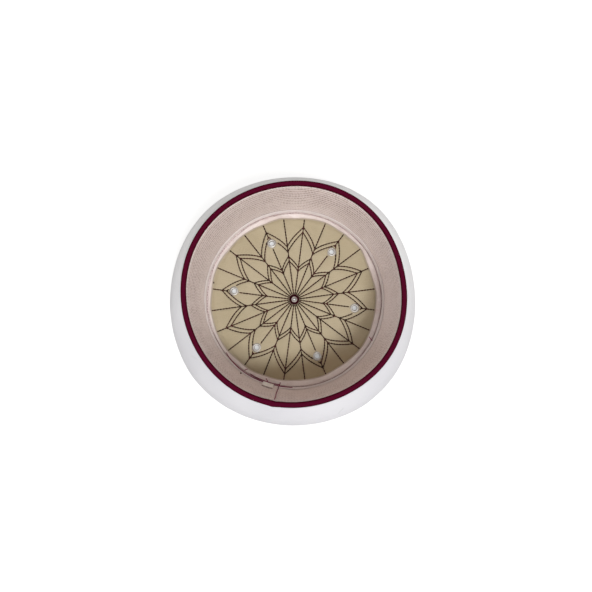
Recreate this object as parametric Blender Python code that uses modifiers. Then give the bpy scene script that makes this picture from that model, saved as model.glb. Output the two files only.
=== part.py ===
"""A ready-made turban lying on its crown: a stiff lined cap with a white cloth wound round its wall.

Metres, +Z up and out of the opening. The crown's outer face is at Z = 0. The front is towards +Y and the
back seam towards -Y. Bearings are in degrees, clockwise from the front as seen from above the opening.
"""

import math

import bmesh
import bpy
import numpy as np

MM = 0.001
GAP = 0.3 * MM
RING_STEPS = 48
SHARP_EDGE = math.radians(40)

# The cap, whose wall leans outwards from the crown to the rim
CAP_HEIGHT = 87.0 * MM
WALL_TOP = 84.1 * MM
WALL_FOOT = 0.6 * MM
WALL_TOP_RADIUS = 94.1 * MM
WALL_FOOT_RADIUS = 86.8 * MM
WALL_THICKNESS = 1.0 * MM
WALL_FOOT_ROUND = 1.2 * MM
WALL_SLOPE = (WALL_TOP_RADIUS - WALL_FOOT_RADIUS) / (WALL_TOP - WALL_FOOT)
LINING_THICKNESS = 1.0 * MM
LINING_FOOT = 2.9 * MM

# The crown, two layers of cloth
CROWN_RADIUS = 85.4 * MM
CROWN_THICKNESS = 2.6 * MM
CROWN_EDGE_ROUND = 1.8 * MM
CROWN_LINING_RADIUS = 84.2 * MM
CROWN_LINING_FOOT = CROWN_THICKNESS + GAP
LINING_STITCH_HEIGHT = 4.5 * MM
LINING_PUFF_HEIGHT = 5.1 * MM

# The star that is quilted in the crown lining, with a double outline on each of its two rings of points
STAR_LINES = 24
FIRST_LINE_BEARING = -7.0
STAR_OUTLINES = (
    # radius at even lines, radius at odd lines, how far the sides bulge
    (37.6 * MM, 28.1 * MM, 0.8 * MM),
    (41.9 * MM, 31.6 * MM, 1.0 * MM),
    (47.2 * MM, 65.4 * MM, 1.6 * MM),
    (52.3 * MM, 70.1 * MM, 1.8 * MM),
)
CENTRE_FLAT_RADIUS = 6.0 * MM
INNER_PUFF_RADIUS = 18.0 * MM
EDGE_FLAT_RADIUS = 78.0 * MM

# The binding folded over the rim, with a leg down the outside of the wall
BINDING_OUTER_RADIUS = 95.4 * MM
BINDING_WIDTH = 3.5 * MM
BINDING_ROUND = 1.2 * MM
BINDING_LEG_FOOT = 80.0 * MM
BINDING_LEG_THICKNESS = 1.0 * MM

# The tape round the inside corner of crown and wall
TAPE_INNER_RADIUS = 79.2 * MM
TAPE_TOP = 12.6 * MM
TAPE_THICKNESS = 1.0 * MM
TAPE_CORNER_ROUND = 2.0 * MM
TAPE_WAVE = 0.45 * MM
TAPE_WAVES = (9, 14)

# Eyelets and the rivet in the crown
EYELET_SIDES = 12
EYELET_COUNT = 6
EYELET_FIRST_BEARING = -22.0
EYELET_PITCH_RADIUS = 58.8 * MM
EYELET_HOLE_RADIUS = 2.2 * MM
EYELET_BARREL_RADIUS = 2.8 * MM
EYELET_FLANGE_RADIUS = 4.7 * MM
RECESS_RADIUS = 5.05 * MM
BARREL_HOLE_RADIUS = 3.15 * MM
CROWN_RECESS_TOP = 1.5 * MM
LINING_RECESS_FLOOR = 4.2 * MM
FLANGE_THICKNESS = 0.9 * MM
FLANGE_BEVEL = 0.3 * MM
FOOT_BEVEL = 0.5 * MM
EYELET_MOUTH = 1.0 * MM
CUT_LOW = -1.0 * MM
CUT_HIGH = 8.0 * MM
RIVET_HOLE_RADIUS = 0.95 * MM
RIVET_BARREL_RADIUS = 1.7 * MM
RIVET_TOP_RADIUS = 2.8 * MM
RIVET_FOOT_RADIUS = 4.1 * MM
RIVET_RECESS_RADIUS = 4.5 * MM
RIVET_HEAD_THICKNESS = 0.8 * MM
RIVET_MOUTH = 0.7 * MM
MIDDLE_HOLE_RADIUS = 2.1 * MM
WASHER_RADIUS = 4.8 * MM
WASHER_THICKNESS = 1.0 * MM
WASHER_BEVEL = 0.6 * MM

# The blank tab beside the back seam
TAB_BEARING = 197.0
TAB_WIDTH = 10.0 * MM
TAB_HEIGHT = 11.0 * MM
TAB_THICKNESS = 1.0 * MM
TAB_FOOT = 13.4 * MM
TAB_CLEARANCE = 0.5 * MM
TAB_LEAN = math.radians(3)

# The wound cloth. It is thickest at one height, and thins to the rim.
WRAP_WIDEST_HEIGHT = 46.0 * MM
WRAP_TAPER_END = 82.0 * MM
WRAP_TOP = 79.4 * MM
WRAP_HIDDEN_TOP = 75.0 * MM
WRAP_TAPER_HEIGHT = 61.0 * MM
WRAP_TOP_ROUND = 1.2 * MM
FOLD_ROUND = 6.0 * MM
FOLD_STEPS = (
    # share of the rounding's height, share of the turn's thickness
    (0.0, 0.45),
    (0.25, 0.80),
    (1.0, 1.0),
)
WRAP_TURNS = (
    # fold height, how far it swings, bearing where it is highest, share of the depth at the outer face
    (12.5 * MM, 1.0 * MM, 40.0, 0.36),
    (18.5 * MM, 1.4 * MM, 150.0, 0.60),
    (25.0 * MM, 1.7 * MM, 260.0, 0.78),
    (32.0 * MM, 1.9 * MM, 20.0, 0.91),
    (39.0 * MM, 1.8 * MM, 110.0, 1.00),
)
WRAP_OUTLINE = (
    # bearing, widest radius from the cap's axis
    (0, 108.2 * MM),
    (30, 109.8 * MM),
    (60, 109.5 * MM),
    (90, 108.2 * MM),
    (120, 112.2 * MM),
    (150, 115.8 * MM),
    (180, 115.4 * MM),
    (210, 115.8 * MM),
    (240, 114.6 * MM),
    (270, 111.4 * MM),
    (300, 111.3 * MM),
    (330, 109.8 * MM),
)

FINISHES = {
    # name: colour, roughness, metallic
    "burgundy_cloth": ((0.115, 0.008, 0.030, 1.0), 0.85, 0.0),
    "burgundy_tape": ((0.130, 0.006, 0.028, 1.0), 0.65, 0.0),
    "beige_lining": ((0.480, 0.400, 0.260, 1.0), 0.80, 0.0),
    "pink_band": ((0.560, 0.450, 0.420, 1.0), 0.90, 0.0),
    "pale_tape": ((0.740, 0.620, 0.600, 1.0), 0.75, 0.0),
    "white_cloth": ((0.830, 0.835, 0.845, 1.0), 0.80, 0.0),
    "eyelet_metal": ((0.720, 0.720, 0.740, 1.0), 0.30, 1.0),
    "rivet_metal": ((0.700, 0.640, 0.620, 1.0), 0.35, 0.6),
}


def clear_scene():
    """Removes what the file opens with."""
    for thing in list(bpy.data.objects):
        bpy.data.objects.remove(thing, do_unlink=True)


def make_collection(name):
    collection = bpy.data.collections.new(name)
    bpy.context.scene.collection.children.link(collection)
    return collection


def make_finish(name):
    """A Principled material with the colour, roughness and metallic value of its row."""
    colour, roughness, metallic = FINISHES[name]
    material = bpy.data.materials.new(name)
    material.use_nodes = True
    shader = material.node_tree.nodes["Principled BSDF"]
    shader.inputs["Base Color"].default_value = colour
    shader.inputs["Roughness"].default_value = roughness
    shader.inputs["Metallic"].default_value = metallic
    material.diffuse_color = colour
    return material


def place(name, mesh, finish, parent):
    """Puts a mesh in the turban's collection under the empty on the cap's axis."""
    mesh.name = name
    thing = bpy.data.objects.new(name, mesh)
    mesh.materials.append(finish)
    TURBAN.objects.link(thing)
    thing.parent = parent
    return thing


def direction(bearing):
    """The unit vector, or vectors, at a bearing in degrees clockwise from +Y."""
    angle = np.radians(bearing)
    return np.stack([np.sin(angle), np.cos(angle)], axis=-1)


def wall_radius(height):
    """The outer radius of the cap's wall at a height."""
    return WALL_FOOT_RADIUS + WALL_SLOPE * (height - WALL_FOOT)


def turned(name, profile, finish, parent, steps=RING_STEPS):
    """A closed profile of (radius, height) turned round Z. It runs down its outer side, then in, up and out."""
    mesh = bpy.data.meshes.new(name)
    count = len(profile)
    mesh.from_pydata([(r, 0.0, z) for r, z in profile], [(i, (i + 1) % count) for i in range(count)], [])
    thing = place(name, mesh, finish, parent)
    screw = thing.modifiers.new("turn", "SCREW")
    screw.axis = "Z"
    screw.angle = math.tau
    screw.steps = steps
    screw.render_steps = steps
    screw.use_merge_vertices = True
    screw.merge_threshold = 0.00001
    screw.use_smooth_shade = True
    return thing


def loft_ring(name, sections, finish, parent):
    """A closed ring through unlike sections: sections[i, j] is the point j of the section at station i."""
    stations, points = sections.shape[:2]
    shape = bmesh.new()
    corners = [[shape.verts.new(point) for point in section] for section in sections]
    for i in range(stations):
        here = corners[i]
        after = corners[(i + 1) % stations]
        for j in range(points):
            k = (j + 1) % points
            shape.faces.new((here[j], after[j], after[k], here[k]))
    if shape.calc_volume(signed=True) < 0:
        bmesh.ops.reverse_faces(shape, faces=shape.faces)
    bmesh.ops.triangulate(shape, faces=shape.faces)
    mesh = bpy.data.meshes.new(name)
    shape.to_mesh(mesh)
    shape.free()
    mesh.shade_smooth()
    mesh.set_sharp_from_angle(angle=SHARP_EDGE)
    return place(name, mesh, finish, parent)


def round_sections(bearings, profiles):
    """Points in space of one (radius, height) profile at each bearing."""
    ways = direction(bearings)[:, None, :]
    radii = profiles[:, :, :1]
    return np.concatenate([ways * radii, profiles[:, :, 1:]], axis=2)


def make_wall(finish, parent):
    foot_end = WALL_FOOT + WALL_FOOT_ROUND
    profile = (
        (WALL_TOP_RADIUS, WALL_TOP),
        (wall_radius(foot_end), foot_end),
        (WALL_FOOT_RADIUS - WALL_FOOT_ROUND / 2, WALL_FOOT),
        (WALL_FOOT_RADIUS - WALL_THICKNESS, WALL_FOOT),
        (WALL_TOP_RADIUS - WALL_THICKNESS, WALL_TOP),
    )
    return turned("cap_wall", profile, finish, parent)


def lining_radius(height):
    """The inner radius of the wall lining at a height."""
    return wall_radius(height) - WALL_THICKNESS - GAP - LINING_THICKNESS


def make_wall_lining(finish, parent):
    profile = (
        (lining_radius(WALL_TOP) + LINING_THICKNESS, WALL_TOP),
        (lining_radius(LINING_FOOT) + LINING_THICKNESS, LINING_FOOT),
        (lining_radius(LINING_FOOT), LINING_FOOT),
        (lining_radius(WALL_TOP), WALL_TOP),
    )
    return turned("wall_lining", profile, finish, parent)


def make_binding(finish, parent):
    outer = BINDING_OUTER_RADIUS
    inner = BINDING_OUTER_RADIUS - BINDING_WIDTH
    underside = WALL_TOP + GAP
    leg_inner = wall_radius(BINDING_LEG_FOOT) + GAP
    profile = (
        (outer - BINDING_ROUND / 3, CAP_HEIGHT - BINDING_ROUND / 3),
        (outer, CAP_HEIGHT - BINDING_ROUND),
        (outer, underside),
        (leg_inner + BINDING_LEG_THICKNESS, BINDING_LEG_FOOT),
        (leg_inner, BINDING_LEG_FOOT),
        (wall_radius(WALL_TOP) + GAP, underside),
        (inner, underside),
        (inner, CAP_HEIGHT - BINDING_ROUND),
        (inner + BINDING_ROUND / 3, CAP_HEIGHT - BINDING_ROUND / 3),
        (inner + BINDING_ROUND, CAP_HEIGHT),
        (outer - BINDING_ROUND, CAP_HEIGHT),
    )
    return turned("rim_binding", profile, finish, parent)


def make_seam_tape(finish, parent):
    """A strip bent into the corner: flat on the crown lining, then up the wall lining, with wavy edges."""
    bearings = np.arange(RING_STEPS) * 360.0 / RING_STEPS
    angle = np.radians(bearings)
    wave = (np.sin(TAPE_WAVES[0] * angle) + np.sin(TAPE_WAVES[1] * angle + 1.0)) / 2
    foot = LINING_STITCH_HEIGHT + GAP
    rise = foot + TAPE_CORNER_ROUND
    profiles = []
    for swing in wave * TAPE_WAVE:
        inner = TAPE_INNER_RADIUS + swing
        top = TAPE_TOP + swing
        profiles.append(
            (
                (inner, foot + TAPE_THICKNESS),
                (inner, foot),
                (lining_radius(foot) - GAP - TAPE_CORNER_ROUND, foot),
                (lining_radius(rise) - GAP, rise),
                (lining_radius(top) - GAP, top),
                (lining_radius(top) - GAP - TAPE_THICKNESS, top),
                (lining_radius(rise) - GAP - TAPE_THICKNESS, rise + TAPE_THICKNESS / 2),
                (lining_radius(foot) - GAP - TAPE_CORNER_ROUND, foot + TAPE_THICKNESS),
            )
        )
    return loft_ring("seam_tape", round_sections(bearings, np.array(profiles)), finish, parent)


def make_crown(finish, parent):
    """The outer disc, flat below, with a rounded edge and a recess for the rivet's foot."""
    cut = 1 - math.sqrt(0.5)
    profile = (
        (CROWN_RADIUS, CROWN_THICKNESS),
        (CROWN_RADIUS, CROWN_EDGE_ROUND),
        (CROWN_RADIUS - cut * CROWN_EDGE_ROUND, cut * CROWN_EDGE_ROUND),
        (CROWN_RADIUS - CROWN_EDGE_ROUND, 0.0),
        (RIVET_RECESS_RADIUS, 0.0),
        (RIVET_RECESS_RADIUS, CROWN_RECESS_TOP),
        (MIDDLE_HOLE_RADIUS, CROWN_RECESS_TOP),
        (MIDDLE_HOLE_RADIUS, CROWN_THICKNESS),
    )
    return turned("cap_crown", profile, finish, parent)


def outline_radii(even, odd, bulge):
    """An outline's radius at each station: its corners on the star's lines, and its sides between them."""
    stations = 2 * STAR_LINES
    half_step = math.pi / STAR_LINES
    side = 2 * even * odd * math.cos(half_step) / (even + odd) + bulge
    radii = np.full(stations, side)
    radii[0::4] = even
    radii[2::4] = odd
    return radii


def make_crown_lining(finish, parent):
    """A quilted disc: low along the stitched lines and puffed up in the panels between them."""
    stations = 2 * STAR_LINES
    bearings = FIRST_LINE_BEARING + np.arange(stations) * 360.0 / stations
    low = np.full(stations, LINING_STITCH_HEIGHT)
    puffed = np.where(np.arange(stations) % 2 == 1, LINING_PUFF_HEIGHT, LINING_STITCH_HEIGHT)
    outlines = [outline_radii(*row) for row in STAR_OUTLINES]

    def flat(radius):
        return np.full(stations, radius)

    rings = (
        # radius, height
        (flat(MIDDLE_HOLE_RADIUS), low),
        (flat(CENTRE_FLAT_RADIUS), low),
        (flat(INNER_PUFF_RADIUS), puffed),
        (outlines[0], low),
        (outlines[1], low),
        ((outlines[1] + outlines[2]) / 2, puffed),
        (outlines[2], low),
        (outlines[3], low),
        ((outlines[3] + EDGE_FLAT_RADIUS) / 2, puffed),
        (flat(EDGE_FLAT_RADIUS), low),
        (flat(CROWN_LINING_RADIUS), low),
        (flat(CROWN_LINING_RADIUS), flat(CROWN_LINING_FOOT)),
        (flat(MIDDLE_HOLE_RADIUS), flat(CROWN_LINING_FOOT)),
    )
    profiles = np.array(rings).transpose(2, 0, 1)
    return loft_ring("crown_lining", round_sections(bearings, profiles), finish, parent)


def eyelet_places():
    """Where the eyelets' axes stand, measured from the cap's axis."""
    for i in range(EYELET_COUNT):
        bearing = EYELET_FIRST_BEARING + i * 360.0 / EYELET_COUNT
        yield direction(bearing) * EYELET_PITCH_RADIUS


def add_cutter(radius, low, high, spot, collection, parent):
    """A hidden cylinder that cuts from one height to another."""
    shape = bmesh.new()
    bmesh.ops.create_cone(
        shape, cap_ends=True, segments=EYELET_SIDES, radius1=radius, radius2=radius, depth=high - low
    )
    mesh = bpy.data.meshes.new("hole_cutter")
    shape.to_mesh(mesh)
    shape.free()
    cutter = bpy.data.objects.new("hole_cutter", mesh)
    collection.objects.link(cutter)
    cutter.parent = parent
    cutter.location = (spot[0], spot[1], (low + high) / 2)
    cutter.hide_render = True
    cutter.display_type = "WIRE"


def cut_holes(thing, recess_low, recess_high, parent):
    """Cuts each eyelet's barrel hole through the thing, and the recess for its flange."""
    cutters = make_collection("cutters_" + thing.name)
    cutters.hide_render = True
    for spot in eyelet_places():
        add_cutter(BARREL_HOLE_RADIUS, CUT_LOW, CUT_HIGH, spot, cutters, parent)
        add_cutter(RECESS_RADIUS, recess_low, recess_high, spot, cutters, parent)
    cut = thing.modifiers.new("holes", "BOOLEAN")
    cut.operation = "DIFFERENCE"
    cut.operand_type = "COLLECTION"
    cut.collection = cutters
    cut.solver = "EXACT"


def make_eyelets(finish, parent):
    """Six alike: a barrel through both layers, with a domed flange above and a flat one in the recess below."""
    low = GAP
    foot_top = CROWN_RECESS_TOP - GAP
    flange_foot = LINING_RECESS_FLOOR + GAP
    flange_top = flange_foot + FLANGE_THICKNESS
    profile = (
        (EYELET_FLANGE_RADIUS, flange_foot + FLANGE_BEVEL),
        (EYELET_FLANGE_RADIUS, flange_foot),
        (EYELET_BARREL_RADIUS, flange_foot),
        (EYELET_BARREL_RADIUS, foot_top),
        (EYELET_FLANGE_RADIUS, foot_top),
        (EYELET_FLANGE_RADIUS - FOOT_BEVEL, low),
        (EYELET_HOLE_RADIUS, low),
        (EYELET_HOLE_RADIUS, flange_top - FLANGE_BEVEL),
        (EYELET_HOLE_RADIUS + EYELET_MOUTH, flange_top),
    )
    for number, spot in enumerate(eyelet_places(), 1):
        eyelet = turned(f"eyelet_{number}", profile, finish, parent, steps=EYELET_SIDES)
        eyelet.location = (spot[0], spot[1], 0.0)


def make_centre(cloth, metal, parent):
    """A cloth washer in the middle of the lining, and the rivet that holds it through the crown."""
    washer_foot = LINING_STITCH_HEIGHT + GAP
    washer_top = washer_foot + WASHER_THICKNESS
    washer = (
        (WASHER_RADIUS, washer_top - WASHER_BEVEL / 2),
        (WASHER_RADIUS, washer_foot),
        (MIDDLE_HOLE_RADIUS, washer_foot),
        (MIDDLE_HOLE_RADIUS, washer_top),
        (WASHER_RADIUS - WASHER_BEVEL, washer_top),
    )
    turned("centre_washer", washer, cloth, parent, steps=EYELET_SIDES)
    head_foot = washer_top + GAP
    head_top = head_foot + RIVET_HEAD_THICKNESS
    rivet = (
        (RIVET_TOP_RADIUS, head_foot + FLANGE_BEVEL),
        (RIVET_TOP_RADIUS, head_foot),
        (RIVET_BARREL_RADIUS, head_foot),
        (RIVET_BARREL_RADIUS, CROWN_RECESS_TOP - GAP),
        (RIVET_FOOT_RADIUS, CROWN_RECESS_TOP - GAP),
        (RIVET_FOOT_RADIUS, GAP),
        (RIVET_HOLE_RADIUS, GAP),
        (RIVET_HOLE_RADIUS, head_top - FLANGE_BEVEL),
        (RIVET_HOLE_RADIUS + RIVET_MOUTH, head_top),
    )
    turned("centre_rivet", rivet, metal, parent, steps=EYELET_SIDES)


def make_tab(finish, parent):
    """A small blank tab that stands on the tape's upper edge and leans in a little from the wall lining."""
    shape = bmesh.new()
    bmesh.ops.create_cube(shape, size=1.0)
    bmesh.ops.scale(shape, vec=(TAB_WIDTH, TAB_THICKNESS, TAB_HEIGHT), verts=shape.verts)
    mesh = bpy.data.meshes.new("size_tab")
    shape.to_mesh(mesh)
    shape.free()
    tab = place("size_tab", mesh, finish, parent)
    across = direction(TAB_BEARING)
    radius = lining_radius(TAB_FOOT) - TAB_CLEARANCE - TAB_THICKNESS / 2 - math.sin(TAB_LEAN) * TAB_HEIGHT / 2
    tab.location = (across[0] * radius, across[1] * radius, TAB_FOOT + TAB_HEIGHT / 2)
    tab.rotation_euler = (TAB_LEAN, 0.0, -math.radians(TAB_BEARING))


def widest_radius(bearings):
    """The wound cloth's radius at its widest, a smooth closed curve through the outline's rows."""
    radii = np.array([row[1] for row in WRAP_OUTLINE])
    count = len(radii)
    harmonics = np.fft.rfft(radii) / count
    angle = np.radians(bearings)
    total = np.full(len(bearings), harmonics[0].real)
    for order in range(1, len(harmonics)):
        weight = 1.0 if 2 * order == count else 2.0
        total += weight * (harmonics[order] * np.exp(1j * order * angle)).real
    return total


def wrap_level(share, height, depth):
    """The radius at a share of the cloth's depth, which is full below the widest height and thins above it."""
    past = np.maximum(height - WRAP_WIDEST_HEIGHT, 0.0) / (WRAP_TAPER_END - WRAP_WIDEST_HEIGHT)
    return wall_radius(height) + share * depth * (1.0 - past**2)


def make_turn(number, finish, parent):
    """One turn of the cloth: it starts at a rounded fold and runs up towards the rim under the next turn."""
    height, swing, highest, outer_share = WRAP_TURNS[number - 1]
    inner_share = WRAP_TURNS[number - 2][3] if number > 1 else 0.0
    last = number == len(WRAP_TURNS)
    bearings = np.arange(RING_STEPS) * 360.0 / RING_STEPS
    depths = widest_radius(bearings) - wall_radius(WRAP_WIDEST_HEIGHT)
    folds = height + swing * np.cos(np.radians(bearings - highest))
    fixed = (WRAP_WIDEST_HEIGHT, WRAP_TAPER_HEIGHT, WRAP_HIDDEN_TOP)
    profiles = []
    for depth, fold in zip(depths, folds):
        full = (outer_share - inner_share) * depth - GAP
        profile = []
        for up, filled in FOLD_STEPS:
            at = fold + up * FOLD_ROUND
            profile.append((wrap_level(inner_share, at, depth) + GAP + filled * full, at))
        profile += [(wrap_level(outer_share, at, depth), at) for at in fixed]
        if last:
            shoulder = WRAP_TOP - WRAP_TOP_ROUND
            profile.append((wrap_level(outer_share, shoulder, depth), shoulder))
            profile.append((wrap_level(outer_share, WRAP_TOP, depth) - WRAP_TOP_ROUND, WRAP_TOP))
            profile.append((wall_radius(WRAP_TOP) + GAP, WRAP_TOP))
        profile += [(wrap_level(inner_share, at, depth) + GAP, at) for at in reversed(fixed)]
        profile.append((wrap_level(inner_share, fold, depth) + GAP, fold))
        profiles.append(profile)
    sections = round_sections(bearings, np.array(profiles))
    return loft_ring(f"wrap_turn_{number}", sections, finish, parent)


def axis_offset():
    """How far the cap's axis stands from the middle of the turban's outline, so that the middle is the origin."""
    bearings = np.arange(RING_STEPS) * 360.0 / RING_STEPS
    outline = direction(bearings) * widest_radius(bearings)[:, None]
    return -(outline.max(axis=0) + outline.min(axis=0)) / 2


clear_scene()
TURBAN = make_collection("turban")
cap_axis = bpy.data.objects.new("cap_axis", None)
TURBAN.objects.link(cap_axis)
cap_axis.location = (*axis_offset(), 0.0)
finishes = {name: make_finish(name) for name in FINISHES}

crown = make_crown(finishes["burgundy_cloth"], cap_axis)
cut_holes(crown, CUT_LOW, CROWN_RECESS_TOP, cap_axis)
crown_lining = make_crown_lining(finishes["beige_lining"], cap_axis)
cut_holes(crown_lining, LINING_RECESS_FLOOR, CUT_HIGH, cap_axis)
make_wall(finishes["burgundy_cloth"], cap_axis)
make_wall_lining(finishes["pink_band"], cap_axis)
make_seam_tape(finishes["pale_tape"], cap_axis)
make_binding(finishes["burgundy_tape"], cap_axis)
make_eyelets(finishes["eyelet_metal"], cap_axis)
make_centre(finishes["burgundy_cloth"], finishes["rivet_metal"], cap_axis)
make_tab(finishes["pale_tape"], cap_axis)
for turn in range(1, len(WRAP_TURNS) + 1):
    make_turn(turn, finishes["white_cloth"], cap_axis)
bpy.context.view_layer.update()
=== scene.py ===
# %% [markdown]
# A ready-made turban, lying on its crown with the opening up.
#
# A turban like this is a stiff burgundy cap with a white cloth wound round its wall. The reader looks
# down into it, so what shows most is the inside: a beige crown lining quilted with a star, a woven band
# round the wall, a pale tape in the corner between them, and a burgundy binding over the rim. Each of
# these is made in its own cell. Most are closed surfaces worked out with numpy on a grid that runs once
# round the cap's axis.
#
# Lengths are in metres. A bearing is in degrees, clockwise from the front (+Y) as seen from above the
# opening.

import math

import bpy
import numpy as np
from mathutils import Matrix, Vector


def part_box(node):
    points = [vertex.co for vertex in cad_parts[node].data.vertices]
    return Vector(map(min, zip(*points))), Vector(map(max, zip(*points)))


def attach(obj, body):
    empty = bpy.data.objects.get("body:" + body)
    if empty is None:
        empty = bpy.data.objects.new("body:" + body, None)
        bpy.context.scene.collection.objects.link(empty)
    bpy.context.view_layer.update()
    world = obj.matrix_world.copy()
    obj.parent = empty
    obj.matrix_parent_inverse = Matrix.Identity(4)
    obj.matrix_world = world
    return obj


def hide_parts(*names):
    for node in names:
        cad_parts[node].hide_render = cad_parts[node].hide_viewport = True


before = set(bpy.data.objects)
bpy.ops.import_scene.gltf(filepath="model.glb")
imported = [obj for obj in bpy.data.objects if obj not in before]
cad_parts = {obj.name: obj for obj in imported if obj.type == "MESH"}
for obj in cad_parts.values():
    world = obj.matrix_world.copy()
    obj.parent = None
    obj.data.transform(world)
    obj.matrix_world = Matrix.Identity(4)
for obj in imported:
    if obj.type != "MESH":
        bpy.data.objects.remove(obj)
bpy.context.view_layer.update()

# %% [markdown]
# The cap is round, but its axis isn't the middle of the whole turban, because the cloth is thicker at
# the back. So every shape below is worked out from the cap's own axis, which the crown's solid gives.

# %% Find the cap's axis and its main sizes
MM = 0.001
TURN = 360.0


def middle_and_size(node):
    """The middle of a solid's box, and its size."""
    low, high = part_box(node)
    return (low + high) / 2, high - low


crown_middle, crown_size = middle_and_size("cap_crown")
AXIS = np.array(crown_middle[:2])
CROWN_RADIUS = crown_size.x / 2
CROWN_THICKNESS = crown_size.z
WALL_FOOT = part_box("cap_wall")[0].z
WALL_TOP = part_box("cap_wall")[1].z
WALL_TOP_RADIUS = middle_and_size("cap_wall")[1].x / 2
WALL_FOOT_RADIUS = 86.8 * MM
WALL_SLOPE = (WALL_TOP_RADIUS - WALL_FOOT_RADIUS) / (WALL_TOP - WALL_FOOT)
RIM_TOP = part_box("rim_binding")[1].z
GAP = 0.3 * MM
print("axis:", AXIS.round(4), "rim at", round(RIM_TOP, 4), "wall leans", round(WALL_SLOPE, 4))

# %% [markdown]
# Three small helpers do the geometry. The first turns bearings into directions. The second is a smooth
# closed curve through a few evenly spaced values, which is how a measured outline becomes a round
# form: it is a Fourier series, so it has no corners and meets itself. The third softens a section's
# corners by cutting them. The other three work on plain numbers: a smooth step, a bell curve, and a
# bearing brought to the nearer way round.

# %% Helpers for round shapes


def direction(bearing):
    """Unit vectors (x, y) of bearings in degrees: the sine is x and the cosine is y."""
    angle = np.radians(bearing)
    return np.stack([np.sin(angle), np.cos(angle)], axis=-1)


def closed_curve(values, bearings):
    """A Fourier series through evenly spaced values, the first at bearing 0, read at any bearings."""
    count = len(values)
    waves = np.fft.rfft(values) / count
    angle = np.radians(bearings)
    total = np.full(np.shape(bearings), waves[0].real)
    for order in range(1, len(waves)):
        weight = 1.0 if 2 * order == count else 2.0
        total = total + weight * (waves[order] * np.exp(1j * order * angle)).real
    return total


def softened(loop):
    """A closed loop of points, with each corner cut twice at a quarter of its sides."""
    for _ in range(2):
        after = np.roll(loop, -1, axis=0)
        cut = np.stack([0.75 * loop + 0.25 * after, 0.25 * loop + 0.75 * after], axis=1)
        loop = cut.reshape(-1, *loop.shape[1:])
    return loop


def smooth_step(value, low, high):
    """0 below low, 1 above high, and a smooth S between them."""
    share = np.clip((value - low) / (high - low), 0.0, 1.0)
    return share * share * (3 - 2 * share)


def bump_at(value, middle, width):
    """A bell curve that is 1 at the middle."""
    return np.exp(-(((value - middle) / width) ** 2))


def wrapped(bearing):
    """A bearing's distance from 0, from -180 to 180."""
    return (np.asarray(bearing) + TURN / 2) % TURN - TURN / 2


print("a bearing of 90 points to", direction(90).round(3))

# %% [markdown]
# A mesh is filled straight from whole arrays. A skin is a grid of points: each row is one point of the
# section carried round the axis, and each column is the section at one bearing. The columns close, and
# so do the rows, because every section is a loop. The first map coordinate is the share of the turn and
# the second is the distance along the section in metres, so a weave can follow the cloth. The signed
# volume says which way the faces point, and a surface that is inside out has its faces reversed.

# %% Turn arrays of points into meshes


def in_scene(name, data):
    """A new object in the scene, made from a mesh, a camera or a lamp."""
    thing = bpy.data.objects.new(name, data)
    bpy.context.scene.collection.objects.link(thing)
    return thing


def mesh_piece(name, points, polygons, smooth=True):
    """An object from points (n, 3) and a list of index arrays, one array for each number of corners."""
    mesh = bpy.data.meshes.new(name)
    corners = np.concatenate([group.ravel() for group in polygons]).astype(np.int32)
    sides = np.concatenate([np.full(len(group), group.shape[1]) for group in polygons])
    starts = (np.cumsum(sides) - sides).astype(np.int32)
    mesh.vertices.add(len(points))
    mesh.vertices.foreach_set("co", np.asarray(points, np.float32).ravel())
    mesh.loops.add(len(corners))
    mesh.loops.foreach_set("vertex_index", corners)
    mesh.polygons.add(len(sides))
    mesh.polygons.foreach_set("loop_start", starts)
    mesh.update(calc_edges=True)
    mesh.validate()
    mesh.polygons.foreach_set("use_smooth", np.full(len(sides), smooth))
    return in_scene(name, mesh)


def ring_quads(steps, columns):
    """The quads of some steps from row to row of a grid whose columns close."""
    i, j = (part.ravel() for part in np.meshgrid(np.arange(steps), np.arange(columns), indexing="ij"))
    near = np.stack([i * columns + j, i * columns + (j + 1) % columns], axis=1)
    return np.concatenate([near, near[:, ::-1] + columns], axis=1)


def end_caps(rows, columns):
    """The two polygons that close such a grid at its first row and its last."""
    around = np.arange(columns)
    return np.stack([around[::-1], around + (rows - 1) * columns])


def signed_volume(points, quads):
    """Six times the volume inside the quads. It is above 0 where they point out."""
    a, b, c, d = (points[quads[:, k]] for k in range(4))
    return (np.cross(a, b) * c).sum() + (np.cross(a, c) * d).sum()


def unit(vectors):
    """Vectors (n, 3) scaled to a length of 1."""
    return vectors / np.linalg.norm(vectors, axis=1, keepdims=True)


def round_line(side, up, sides):
    """Unit vectors (n, sides, 3) that point round a line, from two directions (n, 3) across it."""
    turn = np.arange(sides) * math.tau / sides
    return side[:, None] * np.cos(turn)[None, :, None] + up[:, None] * np.sin(turn)[None, :, None]


def distances(path):
    """How far along a path (n, d) each of its points lies."""
    return np.concatenate([[0.0], np.cumsum(np.linalg.norm(np.diff(path, axis=0), axis=1))])


def skin(name, points):
    """A mesh over a grid of points (rows, columns, 3) that closes both ways."""
    rows, columns = points.shape[:2]
    quads = ring_quads(rows, columns) % (rows * columns)
    i, j = np.divmod(quads[:, 0], columns)
    flat = points.reshape(-1, 3)
    length = distances(np.vstack([points[:, 0], points[:1, 0]]))
    share = np.arange(columns + 1) / columns
    chart_turn = share[np.stack([j, j + 1, j + 1, j], axis=1)]
    chart_along = length[np.stack([i, i, i + 1, i + 1], axis=1)]
    chart = np.stack([chart_turn, chart_along], axis=2)
    if signed_volume(flat, quads) < 0:
        quads = quads[:, ::-1]
        chart = chart[:, ::-1]
    piece = mesh_piece(name, flat, [quads])
    layer = piece.data.uv_layers.new(name="cloth")
    layer.data.foreach_set("uv", chart.astype(np.float32).ravel())
    return piece


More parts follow.
